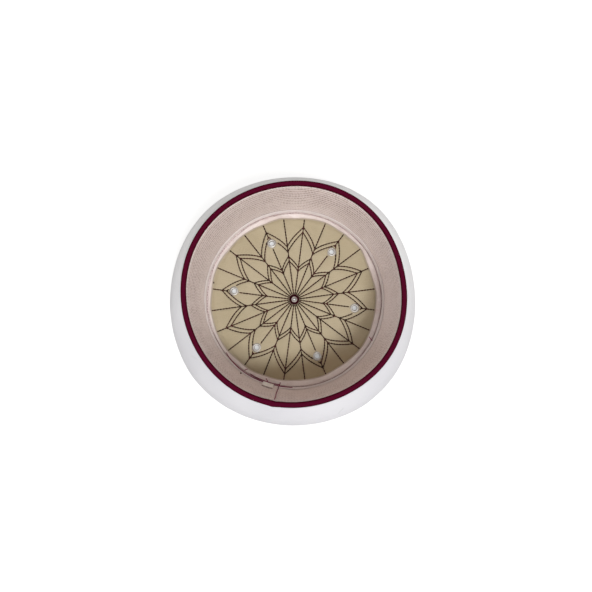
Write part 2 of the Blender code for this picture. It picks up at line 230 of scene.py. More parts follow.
def round_points(radii, heights, bearings, middle=AXIS):
    """Points at radii and heights (rows, columns) for bearings (columns), about a vertical axis."""
    radii, heights = np.broadcast_arrays(radii, heights)
    radii = np.broadcast_to(radii, (radii.shape[0], len(bearings)))
    heights = np.broadcast_to(heights, radii.shape)
    flat = middle + direction(bearings)[None] * radii[..., None]
    return np.concatenate([flat, heights[..., None]], axis=2)


def even_bearings(columns):
    """Bearings that go once round in even steps."""
    return np.arange(columns) * TURN / columns


print("helpers for meshes are ready")

# %% [markdown]
# Shader formulas are easier to read as Python than as a web of nodes. A Value wraps one socket, and its
# operators add Math nodes, also when the number stands first, as in 1 - mask. Every other node comes
# from one method, which takes the node's type, its settings and its sockets. Colours are mixed by Mix
# nodes, because a Math node would make them grey. The sky uses the same node tree helpers as the
# materials.

# %% Shader formulas in Python


class Value:
    """One shader socket, with arithmetic that adds Math nodes."""

    def __init__(self, nodes, socket):
        self.nodes = nodes
        self.socket = socket

    def maths(self, operation, *values):
        return self.nodes.add("ShaderNodeMath", {"operation": operation}, dict(enumerate(values)))

    def __add__(self, other):
        return self.maths("ADD", self, other)

    def __sub__(self, other):
        return self.maths("SUBTRACT", self, other)

    def __rsub__(self, other):
        return self.maths("SUBTRACT", other, self)

    def __mul__(self, other):
        return self.maths("MULTIPLY", self, other)

    def __truediv__(self, other):
        return self.maths("DIVIDE", self, other)

    def sine(self):
        return self.maths("SINE", self)

    def size(self):
        return self.maths("ABSOLUTE", self)

    def whole(self):
        return self.maths("FLOOR", self)

    def part(self):
        return self.maths("FRACT", self)

    def ramp(self, low, high):
        """0 at low and 1 at high, with a smooth S between them."""
        settings = {"interpolation_type": "SMOOTHSTEP"}
        sockets = {"Value": self, "From Min": low, "From Max": high}
        return self.nodes.add("ShaderNodeMapRange", settings, sockets)


class Nodes:
    """A shader node tree, and the one method that adds nodes to it."""

    def __init__(self, tree):
        self.tree = tree
        self.spot = self.add("ShaderNodeTexCoord", output="Object")

    def add(self, kind, settings=None, sockets=None, output=0):
        """Adds a node of a kind, sets it up, fills its sockets, and gives one output as a Value."""
        node = self.tree.nodes.new(kind)
        for setting, choice in (settings or {}).items():
            setattr(node, setting, choice)
        for key, value in (sockets or {}).items():
            self.feed(node.inputs[key], value)
        return Value(self, node.outputs[output])

    def feed(self, socket, value):
        """Links a Value to a socket, or sets a number, a vector or a colour on it."""
        if isinstance(value, Value):
            self.tree.links.new(value.socket, socket)
        elif socket.type == "RGBA":
            socket.default_value = (*value, 1.0)
        else:
            socket.default_value = value

    def mix(self, mask, low, high):
        """The low colour where the mask is 0 and the high colour where it is 1."""
        return self.add("ShaderNodeMix", {"data_type": "RGBA"}, {0: mask, 6: low, 7: high}, output=2)

    def split(self, vector):
        """The x, y and z of a vector."""
        node = self.add("ShaderNodeSeparateXYZ", sockets={0: vector}).socket.node
        return tuple(Value(self, output) for output in node.outputs)

    def place(self):
        """The place on the piece in metres, as x, y and z."""
        return self.split(self.spot)

    def cloth_map(self):
        """The piece's own map: the share of the turn, and the distance along the section in metres."""
        chart = self.add("ShaderNodeUVMap", {"uv_map": "cloth"})
        return self.split(chart)[:2]

    def noise(self, scale, detail=2.0, roughness=0.5, squeeze=(1, 1, 1)):
        """Soft random blotches from 0 to 1, squeezed by a factor along each axis."""
        spot = self.spot
        if squeeze != (1, 1, 1):
            spot = self.add("ShaderNodeMapping", sockets={0: spot, "Scale": squeeze})
        sockets = {"Vector": spot, "Scale": scale, "Detail": detail, "Roughness": roughness}
        return self.add("ShaderNodeTexNoise", sockets=sockets)


class Finish(Nodes):
    """A material with a Principled shader."""

    def __init__(self, name, roughness, metallic=0.0, gloss=0.20, sheen=0.0):
        self.material = bpy.data.materials.new(name)
        self.material.use_nodes = True
        super().__init__(self.material.node_tree)
        self.shader = self.tree.nodes["Principled BSDF"]
        self.shader.inputs["Roughness"].default_value = roughness
        self.shader.inputs["Metallic"].default_value = metallic
        self.shader.inputs["Specular IOR Level"].default_value = gloss
        self.shader.inputs["Sheen Weight"].default_value = sheen

    def done(self, colour, height=None, depth=0.0, roughness=None):
        """Feeds the shader its colour, its relief in metres and its roughness."""
        self.feed(self.shader.inputs["Base Color"], colour)
        if roughness is not None:
            self.feed(self.shader.inputs["Roughness"], roughness)
        if height is not None:
            sockets = {"Height": height, "Distance": depth, "Strength": 1.0}
            relief = self.add("ShaderNodeBump", sockets=sockets)
            self.feed(self.shader.inputs["Normal"], relief)
        return self.material


print("the shader helpers are ready")

# %% [markdown]
# A piece rides on the only body and stands for the solids that it replaces.

# %% Put a piece in the model


def settle(piece, material, slot, *nodes):
    """Gives a piece its material and says what it stands for."""
    piece.data.materials.append(material)
    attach(piece, "root")
    if nodes:
        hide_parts(*nodes)
    triangles = sum(len(polygon.vertices) - 2 for polygon in piece.data.polygons)
    print(f"{piece.name}: {triangles} triangles, stands for {', '.join(nodes) or 'no solid'}")
    return piece


# %% [markdown]
# The camera looks down into the opening from about 56 cm, four degrees off the axis towards the back.
# The lens follows from the picture's focal length, and the aim is a little off the rim's middle, as in
# the photo. A camera that looks almost straight down has no natural up, so its three axes are built one
# after the other: back from the aim, across, and up, which stays as close to +Y as it can.

# %% Camera
FRAME_PIXELS = 592
FOCAL_PIXELS = 664
RIM_PIXEL = (294.3, 293.4)
CAMERA_DISTANCE = 0.560
CAMERA_TILT = math.radians(4.1)
SENSOR_WIDTH = 36.0

rim_middle = Vector((*AXIS, RIM_TOP))
metres_per_pixel = CAMERA_DISTANCE / FOCAL_PIXELS
off_middle = (FRAME_PIXELS / 2 - RIM_PIXEL[0], RIM_PIXEL[1] - FRAME_PIXELS / 2)
aim = rim_middle + Vector((off_middle[0] * metres_per_pixel, off_middle[1] * metres_per_pixel, 0.0))
camera_data = bpy.data.cameras.new("camera")
camera_data.sensor_width = SENSOR_WIDTH
camera_data.lens = FOCAL_PIXELS / FRAME_PIXELS * SENSOR_WIDTH
camera = in_scene("camera", camera_data)
camera.location = rim_middle + CAMERA_DISTANCE * Vector((0, -math.sin(CAMERA_TILT), math.cos(CAMERA_TILT)))
back = (camera.location - aim).normalized()
across = Vector((0, 1, 0)).cross(back).normalized()
camera.rotation_euler = Matrix((across, back.cross(across), back)).transposed().to_euler()
bpy.context.scene.camera = camera
print("lens:", round(camera_data.lens, 2), "camera at", [round(part, 3) for part in camera.location])

# %% [markdown]
# The key light comes from the lower right of the picture, near the camera. It is a sun lamp, so it
# lights the whole floor evenly. The soft edge of the wall's shadow on the crown lining gives its
# angular size, and how far that shadow reaches gives its height. A warm, pale sky fills the rest, a
# little brighter from the turban's back. The camera sees plain white behind the object. The floor is a
# light table, which keeps the shadow round the turban faint and gives off less light to other things
# than the camera sees. A glowing ring lies under the crown, where only the eyelets' holes show it.

# %% Light, floor and backdrop
LIGHT_BEARING = 154.0
LIGHT_OFF_VERTICAL = math.radians(24)
LIGHT_ANGLE = math.radians(13)
LIGHT_STRENGTH = 1.92
SKY_STRENGTH = 0.71
SKY_SLOPE = 0.18
BACKDROP_STRENGTH = 1.0
FLOOR_DROP = 0.3 * MM
FLOOR_REACH = 40.0
FLOOR_GLOW = 0.78
FLOOR_FILL = 0.20
GLOW_RING = (0.45, 0.88)
GLOW_STRENGTH = 0.62
GLOW_IN_SHADE = 0.34
FLOOR_COLUMNS = 96


def flat_ring(name, inner, outer, height, finish):
    """A flat ring on the floor, between two radii."""
    points = round_points(np.array([[inner], [outer]]), height, even_bearings(FLOOR_COLUMNS))
    thing = mesh_piece(name, points.reshape(-1, 3), [ring_quads(1, FLOOR_COLUMNS)[:, ::-1]])
    thing.data.materials.append(finish.material)


def glowing(name, grey, mask, low, high):
    """A dull grey surface that gives off light: low where the mask is 0, and high where it is 1."""
    finish = Finish(name, 0.9, gloss=0.0)
    glow = finish.mix(mask(finish), (low, low, low), (high, high, high))
    finish.feed(finish.shader.inputs["Emission Color"], glow)
    finish.shader.inputs["Emission Strength"].default_value = 1.0
    finish.done((grey, grey, grey))
    return finish


def seen_directly(nodes):
    """1 where the floor or the sky is looked at, 0 where it lights other things."""
    return nodes.add("ShaderNodeLightPath", output="Is Camera Ray")


def out_of_shade(finish):
    """1 away from the key light's side, 0 close to the wall that shades the crown."""
    x, y, _ = finish.place()
    toward = direction(LIGHT_BEARING)
    return (x * toward[0] + y * toward[1]).ramp(52 * MM, 5 * MM)


def make_stage():
    """The key light, the sky, a big floor and the glowing ring under the crown."""
    lamp_data = bpy.data.lights.new("key", "SUN")
    lamp_data.angle = LIGHT_ANGLE
    lamp_data.energy = LIGHT_STRENGTH
    lamp_data.color = (1.0, 0.995, 0.985)
    lamp = in_scene("key", lamp_data)
    flat = direction(LIGHT_BEARING) * math.sin(LIGHT_OFF_VERTICAL)
    toward = Vector((*flat, math.cos(LIGHT_OFF_VERTICAL)))
    lamp.rotation_euler = (-toward).to_track_quat("-Z", "Y").to_euler()

    world = bpy.data.worlds.new("sky")
    bpy.context.scene.world = world
    world.use_nodes = True
    sky = Nodes(world.node_tree)
    seen = seen_directly(sky)
    _, toward_front, _ = sky.place()
    back = SKY_STRENGTH * (1 + SKY_SLOPE)
    front = SKY_STRENGTH * (1 - SKY_SLOPE)
    slope = {"Value": toward_front, "From Min": -1.0, "To Min": back, "To Max": front}
    lit = sky.add("ShaderNodeMapRange", sockets=slope)
    shown = {"Value": seen, "To Min": lit, "To Max": BACKDROP_STRENGTH}
    strength = sky.add("ShaderNodeMapRange", sockets=shown)
    background = sky.tree.nodes["Background"]
    sky.feed(background.inputs["Color"], sky.mix(seen, (1.0, 0.97, 0.93), (1.0, 1.0, 1.0)))
    sky.feed(background.inputs["Strength"], strength)

    floor = glowing("floor", 0.30, seen_directly, FLOOR_FILL, FLOOR_GLOW)
    glow = glowing("glow", 0.15, out_of_shade, GLOW_IN_SHADE, GLOW_STRENGTH)
    flat_ring("floor", 0.1 * MM, FLOOR_REACH, -FLOOR_DROP, floor)
    flat_ring("glow_ring", CROWN_RADIUS * GLOW_RING[0], CROWN_RADIUS * GLOW_RING[1], -FLOOR_DROP / 2, glow)


make_stage()
bpy.context.scene.view_settings.view_transform = "Standard"
print("the key light is", round(math.degrees(LIGHT_OFF_VERTICAL)), "degrees off the vertical")

# %% [markdown]
# The star is sewn through both layers of the crown: twelve inner petals and twelve outer ones, each
# with a double outline, on 24 lines that run from the middle to the edge. A petal's side is a straight
# chord between a tip and a valley, bowed out a little. In polar form the chord's radius is the product
# of both radii and the sine of the step, over each radius times the sine of the angle from the other.
# The star was sewn by eye, so its corners stray by up to a millimetre.

# %% The star's lines
STAR_LINES = 24
LINE_STEP = TURN / STAR_LINES
FIRST_LINE = -7.7
INNER_STRAY = (
    # how many millimetres the inner star's corner on each line strays outwards
    *(0.0, 0.1, 0.5, 0.0, 0.4, 0.7, 0.4, 0.5, 0.0, 0.0, 0.1, -0.1),
    *(-0.1, -0.1, 0.0, 0.1, 0.0, 0.0, -0.4, -0.6, -0.5, -0.4, -0.3, -0.1),
)
OUTER_STRAY = (
    # the same for the outer star
    *(-0.7, -0.1, 0.2, 0.2, 0.4, -0.3, -0.1, -0.3, -0.2, -0.1, 0.3, 0.4),
    *(0.8, 1.2, 0.5, 0.3, 0.6, 0.0, -0.7, -0.4, -0.4, -0.3, -0.6, -0.7),
)
STAR_OUTLINES = (
    # radius at even lines, radius at odd lines, how far the sides bow out, how the corners stray
    (38.0 * MM, 27.3 * MM, 0.9 * MM, INNER_STRAY),
    (42.3 * MM, 30.8 * MM, 1.1 * MM, INNER_STRAY),
    (47.2 * MM, 66.3 * MM, 1.9 * MM, OUTER_STRAY),
    (52.3 * MM, 71.0 * MM, 2.1 * MM, OUTER_STRAY),
)
CENTRE_HOLE = 2.1 * MM
CENTRE_FLAT = 6.0 * MM
EDGE_FLAT = 79.0 * MM
LINING_RADIUS = middle_and_size("crown_lining")[1].x / 2


def outline_radius(outline, bearings):
    """A star outline's radius at bearings: a chord in polar form, plus a bow that is full at mid side."""
    even, odd, bow, stray = outline
    place = (np.asarray(bearings) - FIRST_LINE) / LINE_STEP
    number = np.floor(place).astype(int)
    share = place - number
    strays = np.array(stray) * MM
    start = np.where(number % 2 == 0, even, odd) + strays[number % STAR_LINES]
    end = np.where(number % 2 == 0, odd, even) + strays[(number + 1) % STAR_LINES]
    step = math.radians(LINE_STEP)
    chord = start * end * math.sin(step) / (start * np.sin(share * step) + end * np.sin((1 - share) * step))
    return chord + 4 * bow * share * (1 - share)


for outline in STAR_OUTLINES:
    print("outline from", round(min(outline[:2]) / MM, 1), "to", round(max(outline[:2]) / MM, 1), "mm")

# %% [markdown]
# Both crown layers are quilted by that sewing: low along every stitched line and puffed between the
# lines. The grid of such a disc could be even, but then its grooves would be ragged. So its columns
# crowd towards the 24 lines and its rings crowd towards the four outlines, by a cosine, and every
# groove lies on a grid line.

# %% A grid that follows the star
COLUMNS_BETWEEN = 14
# steps from the hole to the flat middle, on to each outline in turn, to the flat edge, and to the rim
RING_STEPS = (3, 18, 6, 16, 7, 14, 4)
STITCH_SOFTNESS = 1.3 * MM


def crowded(steps):
    """Shares from 0 to 1 that crowd towards both ends, by half a cosine wave. The last one is left out."""
    return 0.5 - 0.5 * np.cos(math.pi * np.arange(steps) / steps)


def star_grid(rim_radius):
    """The bearings of the columns, and the radius of each ring at each column."""
    shares = crowded(COLUMNS_BETWEEN)
    bearings = (FIRST_LINE + (np.arange(STAR_LINES)[:, None] + shares[None]) * LINE_STEP).ravel()
    hole, middle, edge, rim = (
        np.full(len(bearings), radius) for radius in (CENTRE_HOLE, CENTRE_FLAT, EDGE_FLAT, rim_radius)
    )
    curves = [hole, middle, *(outline_radius(outline, bearings) for outline in STAR_OUTLINES), edge, rim]
    rings = []
    for before, after, steps in zip(curves, curves[1:], RING_STEPS):
        rings += [before + (after - before) * share for share in crowded(steps)]
    rings.append(curves[-1])
    return bearings, np.array(rings)


def stitch_distance(bearings, radii):
    """How far each point lies from the nearest stitched line, measured across the line."""
    place = (bearings - FIRST_LINE) / LINE_STEP
    to_line = radii * np.sin(np.radians(np.abs(place - np.round(place)) * LINE_STEP))
    nearest = np.where(radii > CENTRE_FLAT, to_line, 0.0)
    tiny = 0.01
    for outline in STAR_OUTLINES:
        radius = outline_radius(outline, bearings)
        ahead = outline_radius(outline, bearings + tiny)
        slant = (ahead - radius) / (math.radians(tiny) * radius)
        nearest = np.minimum(nearest, np.abs(radii - radius) / np.sqrt(1 + np.minimum(slant, 3.0) ** 2))
    return nearest


def puff(bearings, radii):
    """0 on the stitched lines, rising to 1 between them."""
    raised = 1 - np.exp(-stitch_distance(bearings, radii) / STITCH_SOFTNESS)
    return raised * (1 - smooth_step(radii, EDGE_FLAT - 2 * MM, EDGE_FLAT))


star_bearings, star_rings = star_grid(LINING_RADIUS)
print("star grid:", star_rings.shape)

# %% [markdown]
# The six air eyelets go through both layers, so both need real holes. A hidden ring of cutters, taken
# away with an exact Boolean, gives them, and the modifier is then applied.

# %% Holes for the eyelets
EYELETS = [f"eyelet_{number}" for number in range(1, 7)]
EYELET_SPOTS = [np.array(middle_and_size(name)[0][:2]) for name in EYELETS]
BARREL_HOLE = 3.15 * MM
HOLE_SIDES = 32
CUTTER_ENDS = np.array([[-2.0 * MM], [10.0 * MM]])


def cut_eyelet_holes(piece):
    """Cuts a round hole through a flat layer at each eyelet."""
    bearings = even_bearings(HOLE_SIDES)
    posts = [round_points(np.array([[BARREL_HOLE]]), CUTTER_ENDS, bearings, spot) for spot in EYELET_SPOTS]
    starts = np.arange(len(EYELETS))[:, None, None] * 2 * HOLE_SIDES
    sides = ring_quads(1, HOLE_SIDES)[:, [0, 3, 2, 1]] + starts
    ends = end_caps(2, HOLE_SIDES)[:, ::-1] + starts
    groups = [sides.reshape(-1, 4), ends.reshape(-1, HOLE_SIDES)]
    cutter = mesh_piece("eyelet_cutter", np.concatenate(posts).reshape(-1, 3), groups, smooth=False)
    cut = piece.modifiers.new("holes", "BOOLEAN")
    cut.object = cutter
    cut.solver = "EXACT"
    graph = bpy.context.evaluated_depsgraph_get()
    pierced = bpy.data.meshes.new_from_object(piece.evaluated_get(graph))
    piece.modifiers.remove(cut)
    piece.data = pierced
    bpy.data.objects.remove(cutter)
    return piece


print("eyelets at", [list((spot - AXIS).round(4)) for spot in EYELET_SPOTS])

# %% [markdown]
# The crown lining is plain woven cotton over thin wadding. It is fawn, and painted darker and browner
# towards its back edge, as painted shade that deepens the wall's shadow there. Its threads run straight
# across the cap, so its weave reads Object coordinates and not the round map.

# %% The crown lining
LINING_LOW = 4.5 * MM
LINING_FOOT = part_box("crown_lining")[0].z
LINING_PUFF = 0.75 * MM
LINING_SWELL = 0.12 * MM
SWELL_SPIRAL = 90.0
CLOTH_THREAD = 0.42 * MM


def plain_weave(across, along, thread):
    """The relief of a plain weave: two crossed waves, each strong where the other thread passes under."""
    turn = math.tau / (2 * thread)
    return (across * turn).sine() * (along * turn).sine()


def fawn_cotton():
    finish = Finish("beige_lining", 0.90, gloss=0.10)
    x, y, _ = finish.place()
    weave = plain_weave(x, y, CLOTH_THREAD)
    slubs = finish.noise(160.0, squeeze=(1, 9, 1))
    patches = finish.noise(26.0, detail=3.0)
    base = finish.mix(patches.ramp(0.32, 0.68), (0.490, 0.424, 0.292), (0.542, 0.472, 0.336))
    toned = finish.mix(slubs.ramp(0.45, 0.8) * 0.35, base, (0.415, 0.35, 0.235))
    woven = finish.mix(weave.ramp(-1.0, 1.0) * 0.22, toned, (0.375, 0.315, 0.205))
    # painted shade: darker and browner towards the back edge, where the wall shades the crown
    painted_shade = (x * 0.26 - y * 0.97).ramp(42 * MM, 66 * MM) * 0.58
    shade_browned = finish.mix(painted_shade, woven, (0.36, 0.263, 0.153))
    return finish.done(shade_browned, weave + slubs * 0.5, 0.00012)


def make_crown_lining():
    """Rings out to the edge at the quilted height, then back under the disc on its flat underside."""
    rise = puff(star_bearings, star_rings) * LINING_PUFF
    angle = np.radians(star_bearings)
    swell = LINING_SWELL * np.sin(3 * angle + star_rings * SWELL_SPIRAL)
    swell = swell * smooth_step(star_rings, CENTRE_FLAT, 30 * MM)
    top = LINING_LOW + rise + swell * (rise / LINING_PUFF)
    under = np.array([LINING_RADIUS, CENTRE_HOLE])[:, None] * np.ones(len(star_bearings))
    radii = np.vstack([star_rings, under])
    heights = np.vstack([top, np.full(under.shape, LINING_FOOT)])
    piece = skin("crown_lining_cloth", round_points(radii, heights, star_bearings))
    return cut_eyelet_holes(piece)


crown_lining = settle(make_crown_lining(), fawn_cotton(), "beige_lining", "crown_lining")

# %% [markdown]
# Each stitch is a short piece of dark burgundy thread that rises from its needle hole and dives into
# the next. A stitch's middle runs from hole to hole and lifts by half a sine wave, and its radius
# follows the fourth root of a parabola, so it is blunt at both ends. Where the sewing turns a corner
# the needle stays down, and one more short stitch crosses the corner, which makes the star's points its
# darkest spots. All the stitches of one face are a single mesh.

# %% Sew the star
THREAD_RADIUS = 0.60 * MM
STITCH_LENGTH = 2.8 * MM
STITCH_SHARE = 1.12
CORNER_STITCH = 1.5 * MM
SEWING_STRAY = 0.35 * MM
POINTS_A_SIDE = 13
THREAD_SIDES = 6
THREAD_RINGS = 6
THREAD_END = 0.45
SEWING_SEED = 5


def stitches(name, starts, ends, lift, radius=THREAD_RADIUS):
    """One mesh of short threads from starts to ends (n, 3). Each lifts along Z, by lift at its middle."""
    count = len(starts)
    share = (np.arange(THREAD_RINGS) + 0.5) / THREAD_RINGS
    share = 0.5 + (share - 0.5) * (THREAD_RINGS / (THREAD_RINGS - 1))
    run = ends - starts
    middle = starts[:, None] + run[:, None] * share[None, :, None]
    middle[..., 2] += lift * np.sin(math.pi * share)[None]
    fat = radius * (THREAD_END + (1 - THREAD_END) * (4 * share * (1 - share)) ** 0.25)
    side = unit(np.stack([-run[:, 1], run[:, 0], np.zeros(count)], axis=1))
    ring = round_line(side, np.cross(unit(run), side), THREAD_SIDES)
    points = middle[:, :, None] + ring[:, None] * fat[None, :, None, None]
    offset = np.arange(count)[:, None, None] * THREAD_RINGS * THREAD_SIDES
    quads = ring_quads(THREAD_RINGS - 1, THREAD_SIDES) + offset
    caps = end_caps(THREAD_RINGS, THREAD_SIDES) + offset
    return mesh_piece(name, points.reshape(-1, 3), [quads.reshape(-1, 4), caps.reshape(-1, THREAD_SIDES)])


def stitched_path(path):
    """Cuts a flat path (n, 2) into stitches of even length: where each starts, and where it ends."""
    lengths = distances(path)
    count = max(2, round(lengths[-1] / STITCH_LENGTH))
    holes = np.linspace(0.0, lengths[-1], count + 1)
    spots = np.stack([np.interp(holes, lengths, path[:, axis]) for axis in (0, 1)], axis=1)
    slack = (spots[1:] - spots[:-1]) * (1 - STITCH_SHARE) / 2
    return spots[:-1] + slack, spots[1:] - slack


def star_paths():
    """The flat paths of all the sewing, from the cap's axis: 24 straight lines and four outlines."""
    chance = np.random.default_rng(SEWING_SEED)
    radii = np.linspace(5.0 * MM, LINING_RADIUS - 2.5 * MM, 30)
    for number in range(STAR_LINES):
        wander = chance.uniform(-1, 1, 2) * SEWING_STRAY
        drift = wander[0] * np.sin(radii / radii[-1] * math.pi) + wander[1] * (radii / radii[-1]) ** 2
        ahead = direction(FIRST_LINE + number * LINE_STEP)
        aside = np.array([ahead[1], -ahead[0]])
        yield ahead * radii[:, None] + aside * drift[:, None]
    for outline in STAR_OUTLINES:
        wander = chance.uniform(-1, 1, STAR_LINES) * SEWING_STRAY
        for number in range(STAR_LINES):
            bearings = FIRST_LINE + (number + np.linspace(0, 1, POINTS_A_SIDE)) * LINE_STEP
            pull = np.linspace(wander[number], wander[(number + 1) % STAR_LINES], POINTS_A_SIDE)
            radius = outline_radius(outline, bearings) + pull
            yield direction(bearings) * radius[:, None]


def corner_stitches():
    """A short stitch across each corner of the four outlines: where it starts, and where it ends."""
    bearings = FIRST_LINE + np.arange(STAR_LINES) * LINE_STEP
    ahead = direction(bearings)
    aside = np.stack([ahead[:, 1], -ahead[:, 0]], axis=1) * CORNER_STITCH / 2
    radii = np.concatenate([outline_radius(outline, bearings) for outline in STAR_OUTLINES])
    corners = np.tile(ahead, (len(STAR_OUTLINES), 1)) * radii[:, None]
    across = np.tile(aside, (len(STAR_OUTLINES), 1))
    return corners - across, corners + across


def sewing(name, height, lift, keep_out):
    """All the star's stitches on one face of the crown, leaving out those under an eyelet."""
    parts = [stitched_path(path) for path in star_paths()] + [corner_stitches()]
    starts, ends = (np.concatenate(group) + AXIS for group in zip(*parts))
    middle = (starts + ends) / 2
    clear = np.ones(len(middle), bool)
    for spot in EYELET_SPOTS:
        clear &= np.linalg.norm(middle - spot, axis=1) > keep_out
    level = np.full(clear.sum(), height)
    starts, ends = (np.column_stack([places[clear], level]) for places in (starts, ends))
    return stitches(name, starts, ends, lift)


def spun(name, roughness, gloss, scale, spread, dark, light):
    """A plain thread in two tones: blotches of a scale, that blend over a spread of the noise."""
    finish = Finish(name, roughness, gloss=gloss)
    tone = finish.noise(scale).ramp(0.5 - spread, 0.5 + spread)
    return finish.done(finish.mix(tone, dark, light))


thread_tones = ((0.030, 0.015, 0.010), (0.066, 0.024, 0.020))
thread_material = spun("burgundy_thread", 0.75, 0.12, 260.0, 0.15, *thread_tones)
lining_sewing = sewing("lining_stitches", LINING_LOW + 0.05 * MM, lift=0.30 * MM, keep_out=4.95 * MM)
settle(lining_sewing, thread_material, "washer_cloth")

# %% [markdown]
# The outer crown is thick burgundy felt, and the same star is sewn through it, tone on tone. It lies on
# its puffed panels, so its grooves are pressed up into it, and its edge is rounded where it turns up to
# the wall.

# %% The outer crown
FELT_GROOVE = 0.55 * MM
GROOVE_FADE = (2 * MM, 6 * MM)
EDGE_ROUND = 1.8 * MM
RIVET_RECESS = 4.9 * MM
RIVET_RECESS_DEPTH = 1.5 * MM


def felt(name, dark, light):
    """Dense wool felt: fine fibres in the colour and the relief, a dull surface and a soft sheen."""
    finish = Finish(name, 0.95, gloss=0.06, sheen=0.06)
    finish.feed(finish.shader.inputs["Sheen Tint"], (0.60, 0.20, 0.28))
    fibres = finish.noise(900.0, detail=4.0, roughness=0.7)
    clouds = finish.noise(60.0)
    colour = finish.mix((fibres * 0.7 + clouds * 0.3).ramp(0.35, 0.65), dark, light)
    return finish.done(colour, fibres, 0.00018)


def make_crown():
    """The quilted outer face from the recess to the edge, round it, and back over the inner face."""
    bearings, rings = star_grid(CROWN_RADIUS - EDGE_ROUND)
    rise = 1 - puff(bearings, rings)
    pressed = rise * FELT_GROOVE * smooth_step(CROWN_RADIUS - rings, *GROOVE_FADE)
    low = np.where(rings >= RIVET_RECESS, pressed, RIVET_RECESS_DEPTH)
    arc = np.radians(np.linspace(0, 90, 6))[1:, None]
    level = np.ones(len(bearings))
    edge_radii = CROWN_RADIUS - EDGE_ROUND + EDGE_ROUND * np.sin(arc) * level
    edge_heights = EDGE_ROUND * (1 - np.cos(arc)) * level
    top = np.array([CROWN_RADIUS, CENTRE_HOLE])[:, None] * level
    radii = np.vstack([rings, edge_radii, top])
    heights = np.vstack([low, edge_heights, np.full(top.shape, CROWN_THICKNESS)])
    piece = skin("crown_felt", round_points(radii, heights, bearings))
    return cut_eyelet_holes(piece)


BURGUNDY_DARK = (0.070, 0.0035, 0.0150)
BURGUNDY_LIGHT = (0.125, 0.0080, 0.0300)
felt_material = felt("burgundy_cloth", BURGUNDY_DARK, BURGUNDY_LIGHT)
crown_felt = settle(make_crown(), felt_material, "burgundy_cloth", "cap_crown")
crown_sewing = sewing("crown_stitches", FELT_GROOVE + 0.20 * MM, lift=-0.10 * MM, keep_out=5.6 * MM)
settle(crown_sewing, thread_material, "washer_cloth")

# %% [markdown]
# The wall leans out from the crown to the rim. By hand it never comes out quite round, so the outline
# sways a millimetre or so by bearing. The sway is full at the rim and dies away towards the crown,
# which the flat disc holds round. Everything that is sewn to the wall shares it.

# %% How the rim sways
# how far the rim lies out of round at every 30 degrees
RIM_SWAY = MM * np.array([0.3, 1.3, -0.4, -1.2, 0.3, -1.0, -0.8, -0.4, -1.0, -0.4, 1.1, 0.5])
SEAM_BEARING = 190.5


def sway(bearings, heights):
    """How far the wall lies out of round at bearings and heights, growing with the square of the height."""
    return closed_curve(RIM_SWAY, bearings) * np.clip(heights / RIM_TOP, 0.0, 1.0) ** 2


def wall_radius(heights):
    """The outer radius of the cap's wall, before any sway."""
    return WALL_FOOT_RADIUS + WALL_SLOPE * (heights - WALL_FOOT)


def round_skin(name, sections, bearings):
    """A skin from sections (rows, columns, 2) of radius and height, swayed with the wall."""
    radii, heights = np.moveaxis(sections, 2, 0)
    return skin(name, round_points(radii + sway(bearings, heights), heights, bearings))


def past_seam(bearings, rise, fall):
    """0 before the back seam, up to 1 past it and back to 0, with the degrees where it rises and falls."""
    seam = wrapped(bearings - SEAM_BEARING)
    return smooth_step(seam, *rise) * (1 - smooth_step(seam, *fall))


def all_round(section, bearings):
    """The same section (rows, 2) at every bearing."""
    return section[:, None] * np.ones((1, len(bearings), 1))


print("the rim sways by", round(np.ptp(closed_curve(RIM_SWAY, even_bearings(360))) / MM, 2), "mm")

# %% [markdown]
# The wall lining is a woven band. Its rows run round the cap five millimetres apart. A pale rib parts
# each row from the next, and in a row the weft dives about every 2.6 mm, which leaves a short dark
# dash. A loom sets the rows off against each other, here unevenly, by up to a quarter of a dash. The
# ribs are in the mesh. The dashes, the fine threads between them and painted shade in the bed of each
# row are in the material, on the band's own map, and they fade towards the crown, where the band is
# paler. Painted shade makes it darker and browner at the back and duller at the front left, and painted
# light makes it paler at the right. A smooth edge of three millimetres shows under the rim, and the
# ends meet at the back.

# %% The wall lining
LINING_GAP = 0.3 * MM
BAND_THICKNESS = 1.0 * MM
BAND_ROWS = 16
BAND_DASHES = 211
BAND_THREAD = 0.52 * MM
RIB_HEIGHT = 0.25 * MM
BAND_COLUMNS = 480
BAND_LAP = 0.5 * MM
POINTS_A_ROW = 8
SELVEDGE = 3.2 * MM
BAND_PITCH = math.hypot(WALL_TOP - LINING_FOOT, WALL_SLOPE * (WALL_TOP - LINING_FOOT)) / BAND_ROWS
BAND_LENGTH = math.tau * (wall_radius(WALL_TOP / 2) - 2 * BAND_THICKNESS)


